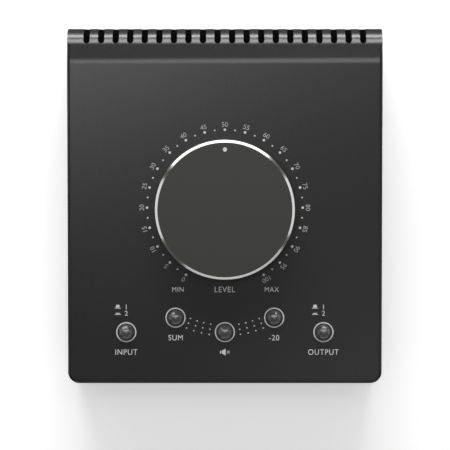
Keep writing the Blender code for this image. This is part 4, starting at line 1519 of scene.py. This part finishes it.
def card(name, corners, colour):
    """A matt card that only glossy surfaces see."""
    mesh = bpy.data.meshes.new(name)
    mesh.from_pydata(corners, [], [(0, 1, 2, 3)])
    material, _, _, _ = start_material(name, linear(colour), 0.9)
    mesh.materials.append(material)
    item = bpy.data.objects.new(name, mesh)
    bpy.context.scene.collection.objects.link(item)
    item.visible_camera = False
    item.visible_diffuse = False
    item.visible_transmission = False
    item.visible_shadow = False
    return item


def flag(name, azimuth, half_angle, colour):
    """A dark card that stands on the floor and faces the dial."""
    distance = 0.35
    width = distance * math.tan(math.radians(half_angle))
    azimuth = math.radians(azimuth)
    corners = [(-width, 0.0, 0.0), (width, 0.0, 0.0), (width, 0.0, 0.3), (-width, 0.0, 0.3)]
    item = card(name, corners, colour)
    item.location = (distance * math.sin(azimuth), distance * math.cos(azimuth), 0.0)
    item.rotation_euler = (0.0, 0.0, -azimuth)


class MONITOR_OT_studio(bpy.types.Operator):
    """Set up the camera, the white floor, the studio round it and its softboxes"""

    bl_idname = "monitor.studio"
    bl_label = "Studio"

    def execute(self, context):
        scene = context.scene
        settings = scene.studio_settings
        scene.view_settings.view_transform = "Standard"
        self.add_camera(scene, settings)
        self.add_world(scene, settings)
        self.add_floor(scene, settings)
        cover = [bpy.data.objects["cover_sheet"]]
        caps = [bpy.data.objects[f"{name}_cap"] for name in BUTTON_NAMES]
        strip = softbox("strip_box", -3, 10.2, 0.61, 0.5, 0.115, settings.strip_level)
        link_lamp(strip, cover, "INCLUDE")
        softbox("low_box", -5, 9.8, 0.62, 1.3, 0.28, settings.low_level)
        high = softbox("high_box", -3, 41, 1.5, 0.8, 0.54, settings.high_level)
        link_lamp(high, caps, "EXCLUDE")
        softbox("top_box", 0, 81.9, 1.8, 0.94, 0.36, settings.top_level, 27)
        softbox("front_box", 152, 71, 1.8, 0.5, 0.4, settings.front_level)
        cap_low = softbox("cap_low_box", 0, 12, 0.32, 0.9, 0.24, settings.cap_level)
        link_lamp(cap_low, caps, "INCLUDE")
        cap_high = softbox("cap_high_box", 0, 60, 1.3, 2.4, 0.6, settings.cap_level)
        link_lamp(cap_high, caps, "INCLUDE")
        flag("flag_rear_right", 53, 11, "#646464")
        flag("flag_front_right", 121, 6, "#3d3d3d")
        flag("flag_front_left", 228, 14, "#4c4c4c")
        flag("flag_rear_left", 300, 6.5, "#3b3b3b")
        # A grey card under the object that only reflections see: painted shade, darkening the floor that the
        # edges mirror
        side = settings.mat_side / 2
        corners = [(-side, -side, 0.0004), (side, -side, 0.0004), (side, side, 0.0004), (-side, side, 0.0004)]
        card("reflected_floor_shade", corners, "#6e6e6e")
        return {"FINISHED"}

    def add_camera(self, scene, settings):
        camera = bpy.data.cameras.new("camera")
        camera.lens = settings.lens
        camera.shift_x = settings.shift_x
        camera.shift_y = settings.shift_y
        camera.clip_end = 100.0
        item = bpy.data.objects.new("camera", camera)
        scene.collection.objects.link(item)
        item.location = (0.0, settings.camera_y, settings.camera_height)
        scene.camera = item

    def add_world(self, scene, settings):
        """A plain studio: white near the horizon, darker towards the ceiling."""
        world = bpy.data.worlds.new("studio")
        world.use_nodes = True
        scene.world = world
        tree = world.node_tree
        direction = add_node(tree, "ShaderNodeTexCoord").outputs["Generated"]
        split = add_node(tree, "ShaderNodeSeparateXYZ", links={"Vector": direction})
        level = add_node(
            tree,
            "ShaderNodeMapRange",
            {"interpolation_type": "SMOOTHSTEP"},
            values={
                "From Min": 0.2,
                "From Max": 0.65,
                "To Min": settings.wall_level,
                "To Max": settings.ceiling_level,
            },
            links={"Value": split.outputs["Z"]},
        )
        background = tree.nodes["Background"]
        background.inputs["Color"].default_value = (1.0, 1.0, 1.0, 1.0)
        tree.links.new(level.outputs["Result"], background.inputs["Strength"])

    def add_floor(self, scene, settings):
        """A white floor that keeps shadows, and adds white where the eye, metal or glass sees it."""
        half = settings.floor_side / 2
        mesh = bpy.data.meshes.new("floor")
        corners = [(-half, -half, 0.0), (half, -half, 0.0), (half, half, 0.0), (-half, half, 0.0)]
        mesh.from_pydata(corners, [], [(0, 1, 2, 3)])
        material = bpy.data.materials.new("studio_floor")
        material.use_nodes = True
        tree = material.node_tree
        shader = tree.nodes["Principled BSDF"]
        shader.inputs["Base Color"].default_value = (*linear("#f4f4f4"), 1.0)
        shader.inputs["Roughness"].default_value = 0.9
        path = add_node(tree, "ShaderNodeLightPath")
        seen = path.outputs["Is Camera Ray"]
        for ray in ("Is Glossy Ray", "Is Transmission Ray"):
            either = add_node(tree, "ShaderNodeMath", {"operation": "MAXIMUM"})
            tree.links.new(seen, either.inputs[0])
            tree.links.new(path.outputs[ray], either.inputs[1])
            seen = either.outputs["Value"]
        lift = add_node(tree, "ShaderNodeMath", {"operation": "MULTIPLY"})
        lift.inputs[1].default_value = settings.floor_lift
        tree.links.new(seen, lift.inputs[0])
        shader.inputs["Emission Color"].default_value = (1.0, 1.0, 1.0, 1.0)
        tree.links.new(lift.outputs["Value"], shader.inputs["Emission Strength"])
        mesh.materials.append(material)
        floor = bpy.data.objects.new("floor", mesh)
        scene.collection.objects.link(floor)


OPERATORS = (
    MONITOR_OT_top_cover,
    MONITOR_OT_level_knob,
    MONITOR_OT_button_caps,
    MONITOR_OT_dial_print,
    MONITOR_OT_legends,
    MONITOR_OT_feet,
    MONITOR_OT_case_screws,
    MONITOR_OT_sockets,
    MONITOR_OT_kept_pieces,
    MONITOR_OT_studio,
)


class MONITOR_PT_controller(bpy.types.Panel):
    """The controller's pieces, each with the button that makes it"""

    bl_idname = "MONITOR_PT_controller"
    bl_label = "Studio Monitor Controller"
    bl_space_type = "VIEW_3D"
    bl_region_type = "UI"
    bl_category = "Controller"

    def draw(self, context):
        for operator in OPERATORS:
            self.layout.operator(operator.bl_idname)
        for name, group in SETTINGS.items():
            box = self.layout.box()
            box.label(text=group.__name__)
            for setting in group.__annotations__:
                box.prop(getattr(context.scene, name), setting)


def register():
    for group in SETTINGS.values():
        bpy.utils.register_class(group)
    for name, group in SETTINGS.items():
        setattr(bpy.types.Scene, name, bpy.props.PointerProperty(type=group))
    for operator in OPERATORS:
        bpy.utils.register_class(operator)
    bpy.utils.register_class(MONITOR_PT_controller)


def unregister():
    bpy.utils.unregister_class(MONITOR_PT_controller)
    for operator in reversed(OPERATORS):
        bpy.utils.unregister_class(operator)
    for name, group in SETTINGS.items():
        delattr(bpy.types.Scene, name)
        bpy.utils.unregister_class(group)


def main():
    register()
    bpy.ops.monitor.top_cover()
    bpy.ops.monitor.level_knob()
    bpy.ops.monitor.button_caps()
    bpy.ops.monitor.dial_print()
    bpy.ops.monitor.legends()
    bpy.ops.monitor.feet()
    bpy.ops.monitor.case_screws()
    bpy.ops.monitor.sockets()
    bpy.ops.monitor.kept_pieces()
    bpy.ops.monitor.studio()


if __name__ == "__main__":
    main()
